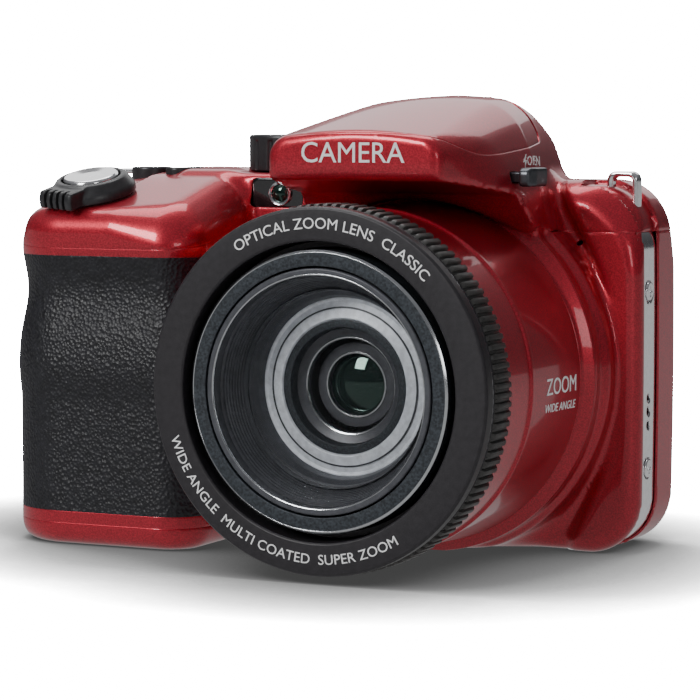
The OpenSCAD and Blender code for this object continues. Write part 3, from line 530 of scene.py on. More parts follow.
def finish_of(name, colour, metallic=0.0, roughness=0.4, **more):
    """A Principled material whose colour and roughness drift a little through a noise texture."""
    mat = bpy.data.materials.new(name)
    mat.use_nodes = True
    tree = mat.node_tree
    shader = tree.nodes["Principled BSDF"]
    shader.inputs["Metallic"].default_value = metallic
    for socket, value in more.items():
        if not socket.startswith("_"):
            shader.inputs[socket.replace("_", " ")].default_value = value
    place = add(tree, "TexCoord")
    noise = add(tree, "TexNoise")
    noise.inputs["Scale"].default_value = more.get("_scale", 900)
    noise.inputs["Detail"].default_value = 3
    wire(tree, place, "Object", noise, "Vector")
    spread = more.get("_spread", 0.12)
    ramp = add(tree, "ValToRGB")
    ramp.color_ramp.elements[0].position, ramp.color_ramp.elements[1].position = 0.35, 0.65
    ramp.color_ramp.elements[0].color = (*[c * (1 - spread) for c in colour], 1)
    ramp.color_ramp.elements[1].color = (*[min(1, c * (1 + spread)) for c in colour], 1)
    wire(tree, noise, "Fac", ramp, "Fac")
    wire(tree, ramp, "Color", shader, "Base Color")
    rough = add(tree, "MapRange")
    rough.inputs["To Min"].default_value = roughness * 0.85
    rough.inputs["To Max"].default_value = roughness * 1.15
    wire(tree, noise, "Fac", rough, "Value")
    wire(tree, rough, "Result", shader, "Roughness")
    MATERIALS[name] = mat
    return tree, shader, place


def roughen(tree, shader, place, scale, depth, kind="noise", strength=0.6):
    """Adds a fine relief, depth in millimetres."""
    if kind == "noise":
        pattern = add(tree, "TexNoise")
        out = pattern.outputs["Fac"]
        pattern.inputs["Detail"].default_value = 4
    else:
        pattern = add(tree, "TexVoronoi")
        pattern.feature = "F1"
        out = pattern.outputs["Distance"]
    pattern.inputs["Scale"].default_value = scale
    wire(tree, place, "Object", pattern, "Vector")
    bump_node = add(tree, "Bump")
    bump_node.inputs["Strength"].default_value = strength
    bump_node.inputs["Distance"].default_value = depth * MM
    tree.links.new(out, bump_node.inputs["Height"])
    wire(tree, bump_node, "Normal", shader, "Normal")
    return bump_node


def red_paint():
    finish_of("red_body", (0.43, 0.016, 0.032), 0.6, 0.34, Coat_Weight=0.6, Coat_Roughness=0.05,
        _scale=3600, _spread=0.25)


def leather_rubber():
    tree, shader, place = finish_of("grip_rubber", (0.007, 0.007, 0.010), 0, 0.45, _scale=500, _spread=0.3)
    grain = roughen(tree, shader, place, 1500, 0.22, "cells", 0.8)
    fine_grain = add(tree, "TexNoise")
    fine_grain.inputs["Scale"].default_value = 1500
    wire(tree, place, "Object", fine_grain, "Vector")
    second = add(tree, "Bump")
    second.inputs["Strength"].default_value = 0.35
    second.inputs["Distance"].default_value = 0.15 * MM
    wire(tree, fine_grain, "Fac", second, "Height")
    wire(tree, grain, "Normal", second, "Normal")
    wire(tree, second, "Normal", shader, "Normal")


def relief(name, colour, metallic, roughness, scale, depth, **more):
    tree, shader, place = finish_of(name, colour, metallic, roughness, **more)
    roughen(tree, shader, place, scale, depth)


def make_materials():
    red_paint()
    leather_rubber()
    relief("black_plastic", (0.02, 0.02, 0.022), 0, 0.42, 2500, 0.03)
    relief("key_black", (0.022, 0.022, 0.024), 0, 0.35, 2500, 0.02)
    relief("ring_black", (0.019, 0.017, 0.020), 0.1, 0.42, 3000, 0.03)
    relief("knurl_grey", (0.035, 0.034, 0.032), 0, 0.45, 2500, 0.03)
    finish_of("chrome_trim", (0.95, 0.95, 0.96), 1, 0.13, _spread=0.04)
    finish_of("steel", (0.55, 0.55, 0.57), 1, 0.3)
    relief("gunmetal", (0.09, 0.095, 0.105), 0.85, 0.33, 3500, 0.02)
    finish_of("aluminium", (0.7, 0.7, 0.72), 1, 0.32)
    finish_of("pale_metal", (0.62, 0.64, 0.66), 1, 0.16, _spread=0.04)
    relief("ring_grey", (0.030, 0.036, 0.043), 0.3, 0.4, 2200, 0.08, _spread=0.45, _scale=2600)
    relief("inner_black", (0.065, 0.068, 0.078), 0.2, 0.36, 2600, 0.05)
    relief("inner_grey", (0.78, 0.82, 0.88), 0.2, 0.38, 2600, 0.03)
    finish_of("brass", (0.7, 0.52, 0.26), 1, 0.3)
    finish_of("glass", (0.02, 0.022, 0.024), 0, 0.03, Alpha=0.1, _spread=0.01)
    finish_of("coated_glass", (0.003, 0.010, 0.008), 0.0, 0.03, Coat_Weight=1.0,
        Specular_Tint=(0.3, 1, 0.7, 1), _spread=0.3)
    finish_of("board_green", (0.03, 0.16, 0.07), 0, 0.4)
    finish_of("screen_glass", (0.008, 0.008, 0.01), 0, 0.04, Coat_Weight=1.0)
    finish_of("gloss_black", (0.006, 0.006, 0.007), 0, 0.05, Coat_Weight=1.0)
    finish_of("screen_picture", (0.018, 0.022, 0.028), 0, 0.12)
    finish_of("battery_wrap", (0.05, 0.05, 0.06), 0, 0.4)
    finish_of("white_print", (0.82, 0.82, 0.82), 0, 0.5, _spread=0.03)
    finish_of("red_dot", (0.6, 0.02, 0.02), 0, 0.3)


# ---- cuts that part the casing into its mouldings ----

def seam(y):
    return SEAM_Z - SEAM_DIP * np.clip((DRUM_Y - y) / (DRUM_Y - GRIP_Y), 0, 1)


def of_cover(x, y, z):
    """Above zero in the top cover, below in the front and rear shells."""
    in_drum = np.minimum(np.minimum(35.55 - lens_radius(x, z), y - 6.4), 17.5 - y)
    return np.minimum(z - seam(y), -in_drum)


def in_front_of(x, y, z, back):
    """Above zero over the lid's lower line and in front of the given depth."""
    fall, rise = 74 - 0.47 * (y + 15), 74 + 0.082 * (y + 15)
    line = (fall + rise + np.sqrt((fall - rise) ** 2 + 9.0)) / 2 - 0.5
    return -round_and(line - z, y - back, 2.8)


def of_lid(x, y, z):
    return in_front_of(x, y, z, 22.0)


def behind_lid(x, y, z):
    return in_front_of(x, y, z, 23.3)


def of_rubber(x, y, z):
    back = np.where(x < -38, 13.0, 5.4)
    return np.minimum(np.minimum(z - RUBBER_Z[0], RUBBER_Z[1] - z), np.minimum(back - y, -15.6 - x))


def of_trim(x, y, z):
    strip = rect(y, z, (TRIM_LOW[1], -20), (TRIM_HIGH[1], SEAM_Z), (0.2,) * 4)
    return np.minimum(-strip, np.abs(x) - TRIM_LOW[0])


def of_cap(x, y, z):
    return np.minimum(np.minimum(CAP_Z - z, FACE_Y - y), -16.5 - x)


def hole_z(at, r, above):
    return lambda x, y, z: np.maximum(np.hypot(x - at[0], y - at[1]) - r, above - z)


def hole_y(at, r, behind):
    return lambda x, y, z: np.maximum(np.hypot(x - at[0], z - at[1]) - r, behind - y)


def inside(field, gap=GAP):
    return lambda x, y, z: field(x, y, z) - gap


def outside(field, gap=GAP):
    return lambda x, y, z: -field(x, y, z) - gap


DOOR_LOW, DOOR_HIGH = mm_box("battery_door")
PORT_LOW, PORT_HIGH = mm_box("port_door")
LCD_LOW, LCD_HIGH = mm_box("lcd_window")
AF_LOW, AF_HIGH = mm_box("af_window")
SHUTTER_AT = np.array([-43.0, -8.0])
DECK_TURN = math.radians(DECK_SLOPE)
DECK_UP = np.array([0, -math.sin(DECK_TURN), math.cos(DECK_TURN)])
SHUTTER_BASE = np.array([*SHUTTER_AT, DECK_Z + (SHUTTER_AT[1] - SLOPE_Y) * math.tan(DECK_TURN)])
PAD_AT = (-39.5, 22.0)
KEYS = {"play_button": (-30.5, 37), "menu_button": (-46.5, 37), "info_button": (-30.5, 7.6),
    "record_button": (-28.5, 50)}
DECK_KEYS = {"power_button": (-42.5, 14, 4.0), "burst_button": (-34, 9.6, 2.6),
    "exposure_button": (-34, 18, 2.6)}
MIC_AT = (47.2, 58.0)
RELEASE_HIGH = mm_box("flash_release")[1]
RELEASE_LENGTH = 9
SCREW_ZS = (49, 15.8)
LUG_AT = {-1: (-52.0, 66.9), 1: (54.0, 67.2)}
LAMP_AT = (-10.5, DRUM_Y, 66.7)
LEVER_TURN = math.radians(255)
BASE_SCREWS = [(x, y) for x in (-8, 46) for y in (19, 31.6)]
SPEAKER_ZS = (29, 26.45, 23.9)


def door_hole(x, y, z):
    return np.maximum(rect(x, y, (DOOR_LOW[0] - 0.2, DOOR_LOW[1] - 0.2),
            (DOOR_HIGH[0] + 0.2, DOOR_HIGH[1] + 0.2),
            (1.2,) * 4), z - 4)


def port_hole(x, y, z):
    return np.maximum(rect(y, z, (27.1, PORT_LOW[2] + 1.8), (PORT_HIGH[1], PORT_HIGH[2] - 1.8), (1.2,) * 4),
        x + 50)


def lcd_hole(x, y, z):
    return np.maximum(rect(x, z, (LCD_LOW[0], LCD_LOW[2]), (LCD_HIGH[0], LCD_HIGH[2]), (2,) * 4), 34 - y)


def af_hole(x, y, z):
    return np.maximum(rect(x, z, (AF_LOW[0] - 0.15, AF_LOW[2] - 0.15),
            (AF_HIGH[0] + 0.15, AF_HIGH[2] + 0.15),
            (1.3,) * 4), y - 9)


def deck_slot(x, y, z):
    """Slot in the hump's side that the flash lever slides in."""
    y0 = RELEASE_HIGH[1] - RELEASE_LENGTH
    return np.maximum(rect(y, z, (y0 + 1.4, 69.2), (y0 + 9.2, 71.7), (0.6,) * 4), 40 - x)


def deck_ring_hole(x, y, z):
    p = [x - SHUTTER_BASE[0], y - SHUTTER_BASE[1], z - SHUTTER_BASE[2]]
    along = p[1] * DECK_UP[1] + p[2] * DECK_UP[2]
    return np.maximum(np.sqrt(np.maximum(p[0] ** 2 + p[1] ** 2 + p[2] ** 2 - along ** 2, 0)) - 6.6,
        -3 - along)


def build_shells():
    base_points, base_quads = surface_net(casing, (-61, -26.5, -1.3), (61, 37.8, 87), STEP)
    base = base_points, triangles(base_quads)
    screw_holes = [lambda x, y, z, at=at: np.maximum(np.hypot(x - at[0], y - at[1]) - 2.1,
            z - 2) for at in BASE_SCREWS]
    shells = [outside(of_cover), outside(of_trim), outside(of_rubber), outside(of_cap), *screw_holes]
    panel("front_shell_skin", base, shells + [lambda x, y, z: SPLIT_Y - 0.04 - y,
          lambda x, y, z: np.maximum(lens_radius(x, z) - 30.6, y - 12), hole_y(MIC_AT, 0.72, -50)],
        "casing", "red_body", ["front_shell"])
    keys = [hole_y(at, 3.85, 34) for at in KEYS.values()]
    panel("rear_shell_skin", base, shells + keys + [lambda x, y, z: y - SPLIT_Y - 0.04,
            hole_y(PAD_AT, 10.4, 34),
          lcd_hole, port_hole, lambda x, y, z: np.maximum(np.hypot(x - 20, y - 29) - 4.75, z - 2)],
        "casing", "red_body", ["rear_shell"])
    deck = [hole_z(k[:2], k[2] + 0.2, 62) for k in DECK_KEYS.values()]
    panel("top_cover_skin", base, [inside(of_cover), outside(behind_lid), af_hole, deck_ring_hole,
          deck_slot] + deck, "casing", "red_body", ["top_cover"])
    panel("flash_lid_skin", base, [inside(of_lid, 0.2)], "flash_lid", "red_body", ["flash_lid"], depth=1.7)
    panel("grip_rubber_skin", base, [inside(of_rubber, 0.05)], "casing", "grip_rubber", ["grip_rubber"])
    panel("grip_cap_skin", base, [inside(of_cap), door_hole], "casing", "red_body", ["grip_cap"])
    # A black band sunk just under the casing's seams, so that the gaps show dark: painted shade in the
    # seams.
    panel("seam_shade_band", base, [lambda x, y, z: 0.55 - np.abs(of_cover(x, y, z)), outside(of_trim, 0.4),
          lambda x, y, z: -np.maximum(lens_radius(x, z) - 33, 12 - y)], "casing", "inner_black", (), 0.3,
        lift=-0.42)
    # A black band sunk under the flash lid's edge, so that its gap shows dark: painted shade in the seam.
    panel("lid_seam_shade_band", base, [lambda x, y, z: 0.8 - np.abs(of_lid(x, y, z)), lambda x, y, z: z - 70],
        "casing",
        "inner_black", (), 0.3, lift=-0.5)
    panel("port_door_skin", base, [lambda x, y, z: -port_hole(x, y, z) - 0.15], "port_door", "grip_rubber",
        ["port_door"], depth=1.2)


# ---- lens ----

def build_lens():
    turned("lens_skirt_turned", [(29.2, -29.9), (30.5, -29.9), (30.5, -28.9), (30.9, -28.3), (31, -17.6),
           (31.5, -17.2), (31.5, -16.1), (31, -15.7), (32, 4.7), (31.5, 4.95), (31.5, 5.6), (32.2, 5.85),
           (34.0, 6.9), (34.0, 7.4), (29.2, 7.4)], "casing", "red_body", ["lens_skirt"], 0.2, 256)
    turned("lens_front_ring_turned", [(26.6, -40), (31.9, -40), (32.3, -39.55), (32.3, -37.25), (31.9, -37),
           (31.9, -36.5), (32.2, -36.2), (30.5, -36.2), (30.5, -30), (28.6, -30), (28.6, -31), (26.3, -31),
           (26.3, -39.7)], "casing", "ring_black", ["lens_front_ring"], 0.15, 256)
    turned("ring_bright_line", [(31.7, -37.08), (32.12, -37.08), (32.12, -36.78), (31.7, -36.78)], "casing",
        "pale_metal", (), 0.05, 256)
    build_knurl()
    turned("stage_1_tube", [(21.95, -39.4), (24.5, -39.4), (24.8, -39.1), (24.8, 5), (23.4, 5),
            (23.4, -37.6),
           (21.95, -37.6)], "lens_stage_1", "ring_grey", ["lens_stage_1"], 0.12, 256)
    turned("stage_1_outer_edge", [(24.35, -39.5), (24.8, -39.2), (24.85, -38.9), (24.5, -38.9),
            (24.2, -39.35)],
        "lens_stage_1", "pale_metal", (), 0.05, 256)
    turned("stage_2_tube", [(20.5, -39.5), (21.4, -39.5), (21.6, -39.3), (21.6, -4), (23.1, -4), (23.1, -2),
           (20.3, -2), (20.3, -39.0)], "lens_stage_2", "inner_black", ["lens_stage_2"], 0.1, 256)
    turned("stage_2_bright_edge", [(20.35, -39.42), (20.55, -39.52), (20.75, -39.42), (20.75, -39.1),
            (20.35, -39.1)],
        "lens_stage_2", "pale_metal", (), 0.04, 256)
    build_inner_lens()


def build_knurl():
    """Short teeth round the zoom ring."""
    teeth, per_tooth = 120, 8
    steps = teeth * per_tooth
    y0, y1 = -36.1, -29.2
    section = [(30.7, y0), (31.9, y0), (32.45, y0 + 0.35), (32.7, y0 + 0.8), (32.7, y1 - 0.8),
        (32.45, y1 - 0.35),
        (31.9, y1), (30.7, y1)]
    points, faces = lathe_mesh(section, steps)
    points = points.reshape(steps, len(section), 3)
    wave = np.array([0, 0, 0, 0.1, 1, 1, 1, 0.1])
    for k, (r, _) in enumerate(section):
        if r > 32:
            shrink = 1 - 0.62 * np.tile(wave, teeth) / r
            points[:, k, 0] = LENS_X + (points[:, k, 0] - LENS_X) * shrink
            points[:, k, 2] = LENS_Z + (points[:, k, 2] - LENS_Z) * shrink
    make_object("knurled_ring_turned", points.reshape(-1, 3), faces, "casing", "knurl_grey", 30,
        ["knurled_ring"])


def build_inner_lens():
    body = "lens_stage_2"
    glass = [(q, -38.8 + 1.9 * (q / 20.2) ** 2) for q in np.linspace(0.001, 20.2, 24)]
    back = [(q, -36.9 + 1.9 * (q / 20.2) ** 2) for q in np.linspace(20.2, 0.001, 24)]
    points, faces = lathe_mesh(glass + back, 128)
    make_object("front_glass", points, faces, body, "glass", 40, ["front_element"])
    steps = [(20.25, -37.0)]
    r, y = 19.9, -36.6
    while r > 18.0:
        steps += [(r, y), (r - 0.12, y + 0.45)]
        r, y = r - 0.27, y + 0.55
    turned("front_thread", steps + [(17.6, -33.0), (17.6, -31.4), (20.25, -31.4)], body, "inner_black",
        ["lens_baffle"],
        0.04, 256)
    turned("inner_step", [(20.25, -31.35), (17.4, -31.35), (17.2, -30.6), (16.4, -29.6), (15.9, -28.2),
           (20.25, -28.2)], body, "inner_black", (), 0.1, 256)
    turned("pale_cone", [(15.95, -28.15), (15.6, -28.15), (15.3, -27.9), (12.3, -28.7), (12.0, -28.3),
            (12.0, -27.0),
           (15.95, -27.0)], body, "inner_grey", (), 0.1, 256)
    turned("cone_line", [(14.3, -28.35), (14.0, -28.43), (14.0, -28.0), (14.3, -28.0)], body, "inner_black",
        (), 0.03, 256)
    turned("speckled_ring", [(12.0, -28.4), (10.6, -28.5), (10.3, -26.2), (12.0, -26.2)], body, "ring_grey",
        (), 0.1, 192)
    turned("inner_rim", [(10.3, -26.4), (8.6, -25.7), (8.4, -25.3), (8.4, -24.4), (10.3, -24.4)], body,
        "inner_black",
        (), 0.1, 192)
    turned("bright_rim", [(8.75, -25.85), (8.5, -25.75), (8.4, -25.5), (8.6, -25.4), (8.8, -25.6)], body,
        "pale_metal",
        (), 0.03, 192)
    turned("variator_cell", [(7.6, -23.2), (5.7, -23.2), (5.6, -22.9), (5.6, -17.2), (7.6, -17.2)],
        "variator",
        "inner_black", ["variator_holder"], 0.1, 128)
    turned("variator_rim", [(5.9, -23.4), (5.6, -23.4), (5.55, -23.1), (5.9, -23.1)], "variator",
        "pale_metal", (), 0.03, 128)
    dome = [(q, -23.4 + 1.3 * (q / 5.5) ** 2) for q in np.linspace(0.001, 5.5, 16)]
    points, faces = lathe_mesh(dome + [(5.5, -19.0), (0.001, -19.0)], 96)
    make_object("variator_dome", points, faces, "variator", "coated_glass", 40, ["variator_glass"])


# ---- trim, screws and lugs ----

def trim_field(side):
    def field(x, y, z):
        skin = outline(x, z) + 0.5
        band = round_and(np.maximum(skin, -skin - 1.6), np.abs(y - SPLIT_Y) - 3.65, 0.25)
        band = np.maximum(np.maximum(band, TRIM_LOW[0] + 0.15 - side * x), z - SEAM_Z + 0.15)
        for screw_z in SCREW_ZS:
            pit = np.hypot(y - SPLIT_Y, z - screw_z) - 2.0
            band = round_and(band, -np.maximum(pit, HALF_W - 1.5 - side * x), 0.15)
        if side > 0:
            for hole in SPEAKER_ZS:
                band = round_and(band, 0.7 - np.hypot(y - SPLIT_Y, z - hole), 0.15)
        return band
    return field


def screw_field(u, v, w):
    head = round_and(np.hypot(u, v) - 1.8, np.abs(w) - 0.45, 0.3)
    cross = np.minimum(np.maximum(np.abs(u) - 0.28, np.abs(v) - 1.0),
        np.maximum(np.abs(v) - 0.28, np.abs(u) - 1.0))
    return round_and(head, -np.maximum(cross, 0.1 - w), 0.06)


def build_trim():
    sculpt("side_trim_right_strip", trim_field(1), (46, 17, -0.5), (60.5, 26.5, 61), 0.4, "casing",
        "chrome_trim",
        ["side_trim_right"])
    sculpt("side_trim_left_strip", trim_field(-1), (-60.5, 17, -0.5), (-46, 26.5, 61), 0.4, "casing",
        "chrome_trim",
        ["side_trim_left"])
    head, quads = surface_net(screw_field, (-2.1, -2.1, -0.75), (2.1, 2.1, 0.75), 0.1)
    parts = []
    for side in (-1, 1):
        for z in SCREW_ZS:
            turn_to = np.array([[0, side, 0], [0, 0, 1], [side, 0, 0]])
            parts.append((head @ turn_to + np.array([side * (HALF_W - 0.75), SPLIT_Y, z]), quads))
    for x, y in BASE_SCREWS:
        turn_to = np.array([[1, 0, 0], [0, -1, 0], [0, 0, -1]])
        parts.append((head @ turn_to + np.array([x, y, 0.5]), quads))
    points = np.concatenate([p for p, _ in parts])
    faces = np.concatenate([q + i * len(head) for i, (_, q) in enumerate(parts)])
    make_object("case_screw_heads", points, faces, "casing", "chrome_trim", 40, ["case_screws"])
    build_lugs()


def build_lugs():
    shapes = []
    for lug_x, lug_z in LUG_AT.values():
        middle = np.array([lug_x, SPLIT_Y, lug_z])

        def field(x, y, z):
            u, w = x - middle[0], z - middle[2]
            ring = round_and(rect(u, w, (-3.1, -4.6), (3.1, 4.1), (0.5, 0.5, 1.7, 1.7)),
                -rect(u, w, (-1.95, -2.6), (1.95, 3.0), (0.6, 0.6, 1.0, 1.0)), 0.5)
            return round_and(ring, np.abs(y - middle[1]) - 1.4, 0.6)
        shapes.append(surface_net(field, middle - 6, middle + 6, 0.25))
    points = np.concatenate([s[0] for s in shapes])
    faces = np.concatenate([shapes[0][1], shapes[1][1] + len(shapes[0][0])])
    make_object("strap_loops", points, faces, "casing", "chrome_trim", 40, ["strap_lugs"])


# ---- top controls ----

def deck_local(x, y, z):
    """Across, back and up from the sloping seat of the shutter button."""
    v = (y - SHUTTER_BASE[1]) * math.cos(DECK_TURN) + (z - SHUTTER_BASE[2]) * math.sin(DECK_TURN)
    w = (z - SHUTTER_BASE[2]) * math.cos(DECK_TURN) - (y - SHUTTER_BASE[1]) * math.sin(DECK_TURN)
    return x - SHUTTER_BASE[0], v, w


def lever_field(x, y, z):
    u, v, w = deck_local(x, y, z)
    r = np.hypot(u, v)
    collar = round_and(r - 8.3, (r - 8.2 + 0.75 * (w - 1.8)) * 0.8, 0.4)
    collar = round_and(collar, np.abs(w - 2.1) - 1.75, 0.3)
    along = u * math.cos(LEVER_TURN) + v * math.sin(LEVER_TURN)
    across = v * math.cos(LEVER_TURN) - u * math.sin(LEVER_TURN)
    tab = round_and(np.abs(across) - 4.3, np.abs(w - 1.9) - 1.65, 0.5)
    tab = round_and(tab, np.maximum(along - 10.5 + 0.35 * np.maximum(w - 2, 0), 4 - along), 0.6)
    for place in (-2.4, -0.8, 0.8, 2.4):
        groove = np.maximum(np.abs(across - place) - 0.36, 9.5 - along - 0.6 * np.maximum(w - 1.6, 0))
        tab = np.maximum(tab, -groove)
    body = round_or(collar, tab, 0.5)
    return np.maximum(body, 5.75 - r)


def dial_field(x, y, z):
    top = mm_box("mode_dial")[1][2]
    u, v = x - centre_of("mode_dial")[0], y - centre_of("mode_dial")[1]
    r, turn = np.hypot(u, v), np.arctan2(v, u)
    groove = 0.42 * np.clip((np.abs(np.mod(turn * 15 / math.pi, 2) - 1) - 0.62) * 5, 0, 1)
    band = np.clip((top - 0.9 - z) * 3, 0, 1)
    side = r - 8.75 + groove * band
    shape = round_and(side, z - top, 0.55)
    shape = np.maximum(shape, DECK_Z + 0.35 - z)
    return np.maximum(shape, -round_and(r - 7.3, top - 0.25 - z, 0.1))


def build_top_controls():
    sculpt("zoom_lever_collar", lever_field, (-53, -19.5, 63), (-33, 2, 75), 0.22, "zoom_lever",
        "key_black", ["zoom_lever"], 30)
    dish = [(0.001, 3.9), (2.5, 3.98), (4.2, 4.25), (4.9, 4.35), (5.35, 3.9), (5.35, 1.5), (0.001, 1.5)]
    turned_about("shutter_cap", dish, SHUTTER_BASE, tuple(DECK_UP), "shutter_button", "chrome_trim",
        ["shutter_button"], 0.25)
    low, high = mm_box("mode_dial")
    sculpt("mode_dial_knob", dial_field, low - [0.5, 0.5, -5], high + 0.5, 0.25, "mode_dial", "key_black",
        ["mode_dial"], 30)
    for node, (x, y, r) in DECK_KEYS.items():
        top = mm_box(node)[1][2]
        round_key(node, [(0.001, top - 0.1), (r * 0.7, top - 0.05), (r - 0.15, top), (r, top - 0.35),
                (r, 68),
                (0.001, 68)], (x, y, 0), "z")
    build_release()


def build_release():
    low, high = mm_box("flash_release")
    x0, y0 = LENS_X + HUMP_HALF + 0.3, high[1] - RELEASE_LENGTH

    def field(x, y, z):
        block = rect(y, z, (y0, 68.8), (y0 + 8, 72.2), (0.9, 0.7, 1.3, 0.7))
        face = x - high[0] + 0.22 * np.clip(y0 + 2.5 - y, 0, 3)
        knob = round_and(block, np.maximum(face, x0 - x), 0.45)
        stem = np.maximum(rect(y, z, (y0 + 2.2, 69.6), (y0 + 5.8, 71.4), (0.2,) * 4),
            np.maximum(x - x0 - 0.3, low[0] + 1 - x))
        return np.minimum(knob, stem)
    sculpt("flash_release_knob", field, (low[0], y0 - 0.8, 67.8), (high[0] + 0.8, y0 + 9, 73.2), 0.25,
        "flash_release", "gunmetal",
        ["flash_release"], 35)


# ---- front window, flash and doors ----

def build_front_window():
    soft_block("af_window_pane", (AF_LOW[0], DRUM_Y + 0.15, AF_LOW[2]),
        (AF_HIGH[0], DRUM_Y + 2, AF_HIGH[2]), 1.15, 0.3,
        1, "casing", "gloss_black", ["af_window"], 0.22)
    turned_about("lamp_rim", [(2.35, -0.35), (2.2, -0.5), (1.75, -0.3), (1.7, 0.3), (2.35, 0.3)], LAMP_AT,
        "y", "casing",
        "pale_metal", (), 0.06, 64)
    turned_about("lamp_lens", [(0.001, -0.75), (0.7, -0.68), (1.3, -0.45), (1.72, -0.1), (1.72, 0.3),
            (0.001, 0.3)],
        LAMP_AT, "y", "casing", "coated_glass", (), 0.05, 64)


def build_flash():
    reflector = (LENS_X - 11.5, -11.2, 75.4), (LENS_X + 11.5, -5, 79.4)
    soft_block("flash_housing", *reflector, 0.8, 0.4, 1, "flash_lid", "black_plastic", ["flash_head"], 0.4)

    def ribbed(x, y, z):
        wave = 0.18 * np.cos(x * 2 * math.pi / 1.2)
        return plate((LENS_X - 12, -13, 75.2), (LENS_X + 12, -11.2, 79), 0.8, 0.3, 1)(x,
            y - wave * (y < -12),
            z)
    sculpt("flash_window", ribbed, (LENS_X - 13, -13.8, 74.5), (LENS_X + 13, -10.6, 79.7), 0.2, "flash_lid",
        "inner_grey")
    pin = centre_of("flash_hinge_pin")
    turned_about("lid_knuckle", [(0.55, -6.9), (1.2, -6.9), (1.2, 6.9), (0.55, 6.9)],
        (LENS_X, pin[1], pin[2]), "x",
        "flash_lid", "red_body", (), 0.15, 48)


def build_doors():
    hinge_x, _, hinge_z = centre_of("door_hinge_pin")
    leaf = plate(DOOR_LOW + [0.1, 0.1, 0], (hinge_x, DOOR_HIGH[1] - 0.1, hinge_z + 0.8), 1.1, 0.5, 2)

    def door(x, y, z):
        middle, half = (DOOR_LOW[1] + DOOR_HIGH[1]) / 2, (DOOR_HIGH[1] - DOOR_LOW[1]) / 2
        knuckle = np.hypot(x - hinge_x, z - hinge_z) - (DOOR_HIGH[0] - hinge_x - 0.05)
        return np.minimum(leaf(x, y, z), round_and(knuckle, np.abs(y - middle) - half + 0.1, 0.3))
    sculpt("battery_door_plate", door, *around(DOOR_LOW, DOOR_HIGH), 0.3, "battery_door", "red_body",
        ["battery_door"])
    low, high = mm_box("battery_lock")

    def slider(x, y, z):
        ribs = 0.35 * (np.cos((x - low[0]) * 2 * math.pi / 1.6) > 0.2)
        return round_and(plate(low - [0, 0, 0.1], high, 0.9, 0.3, 2)(x, y, z), low[2] - 0.25 + ribs - z, 0.1)
    sculpt("battery_lock_slider", slider, *around(low - [0, 0, 0.3], high), 0.25, "battery_lock",
        "key_black", ["battery_lock"])


# ---- rear ----

def build_rear():
    soft_block("screen_window", LCD_LOW, LCD_HIGH, 1.8, 0.5, 1, "casing", "screen_glass", ["lcd_window"],
        0.5)
    soft_block("screen_picture_area", (LCD_LOW[0] + 4, LCD_HIGH[1] - 1.5, LCD_LOW[2] + 5),
        (LCD_HIGH[0] - 4, LCD_HIGH[1] + 0.03, LCD_HIGH[2] - 4), 0.6, 0.02, 1, "casing",
        "screen_picture", (), 0.5)
    top = mm_box("nav_pad")[1][1]
    turned_about("nav_pad_ring", [(4.85, top - 0.4), (6.5, top - 0.25), (9.2, top), (9.9, top - 0.3),
            (10, top - 0.9), (10, 33.5),
            (4.85, 33.5)], (PAD_AT[0], 0, PAD_AT[1]), "y", "nav_pad", "key_black", ["nav_pad"], 0.3)
    top = mm_box("set_button")[1][1]
    round_key("set_button", [(0.001, top - 0.15), (3.2, top - 0.1), (4.1, top), (4.4, top - 0.4), (4.4, 33),
            (0.001, 33)], (PAD_AT[0], 0, PAD_AT[1]), "y")
    for node, (x, z) in KEYS.items():
        top = mm_box(node)[1][1]
        round_key(node, [(0.001, top - 0.12), (2.6, top - 0.08), (3.3, top), (3.6, top - 0.4), (3.6, 33.4),
                (0.001, 33.4)], (x, 0, z), "y")
    low, high = mm_box("thumb_rest")

    def pad(x, y, z):
        shape = rect(x, z, (low[0], low[2]), (high[0], high[2]), (3,) * 4)
        crest = y - high[1] + 0.25 * np.clip(high[0] - 4 - x, 0, 20) * 0.55
        ribs = 0.45 * np.clip(np.cos((z - 45) * 2 * math.pi / 2.6) * 3, 0, 1) * (shape < -2)
        return round_and(shape, np.maximum(crest + ribs, REAR_Y - 0.4 - y), 1.4)
    sculpt("thumb_rest_pad", pad, *around(low, high), 0.35, "casing", "grip_rubber", ["thumb_rest"])


# ---- print ----

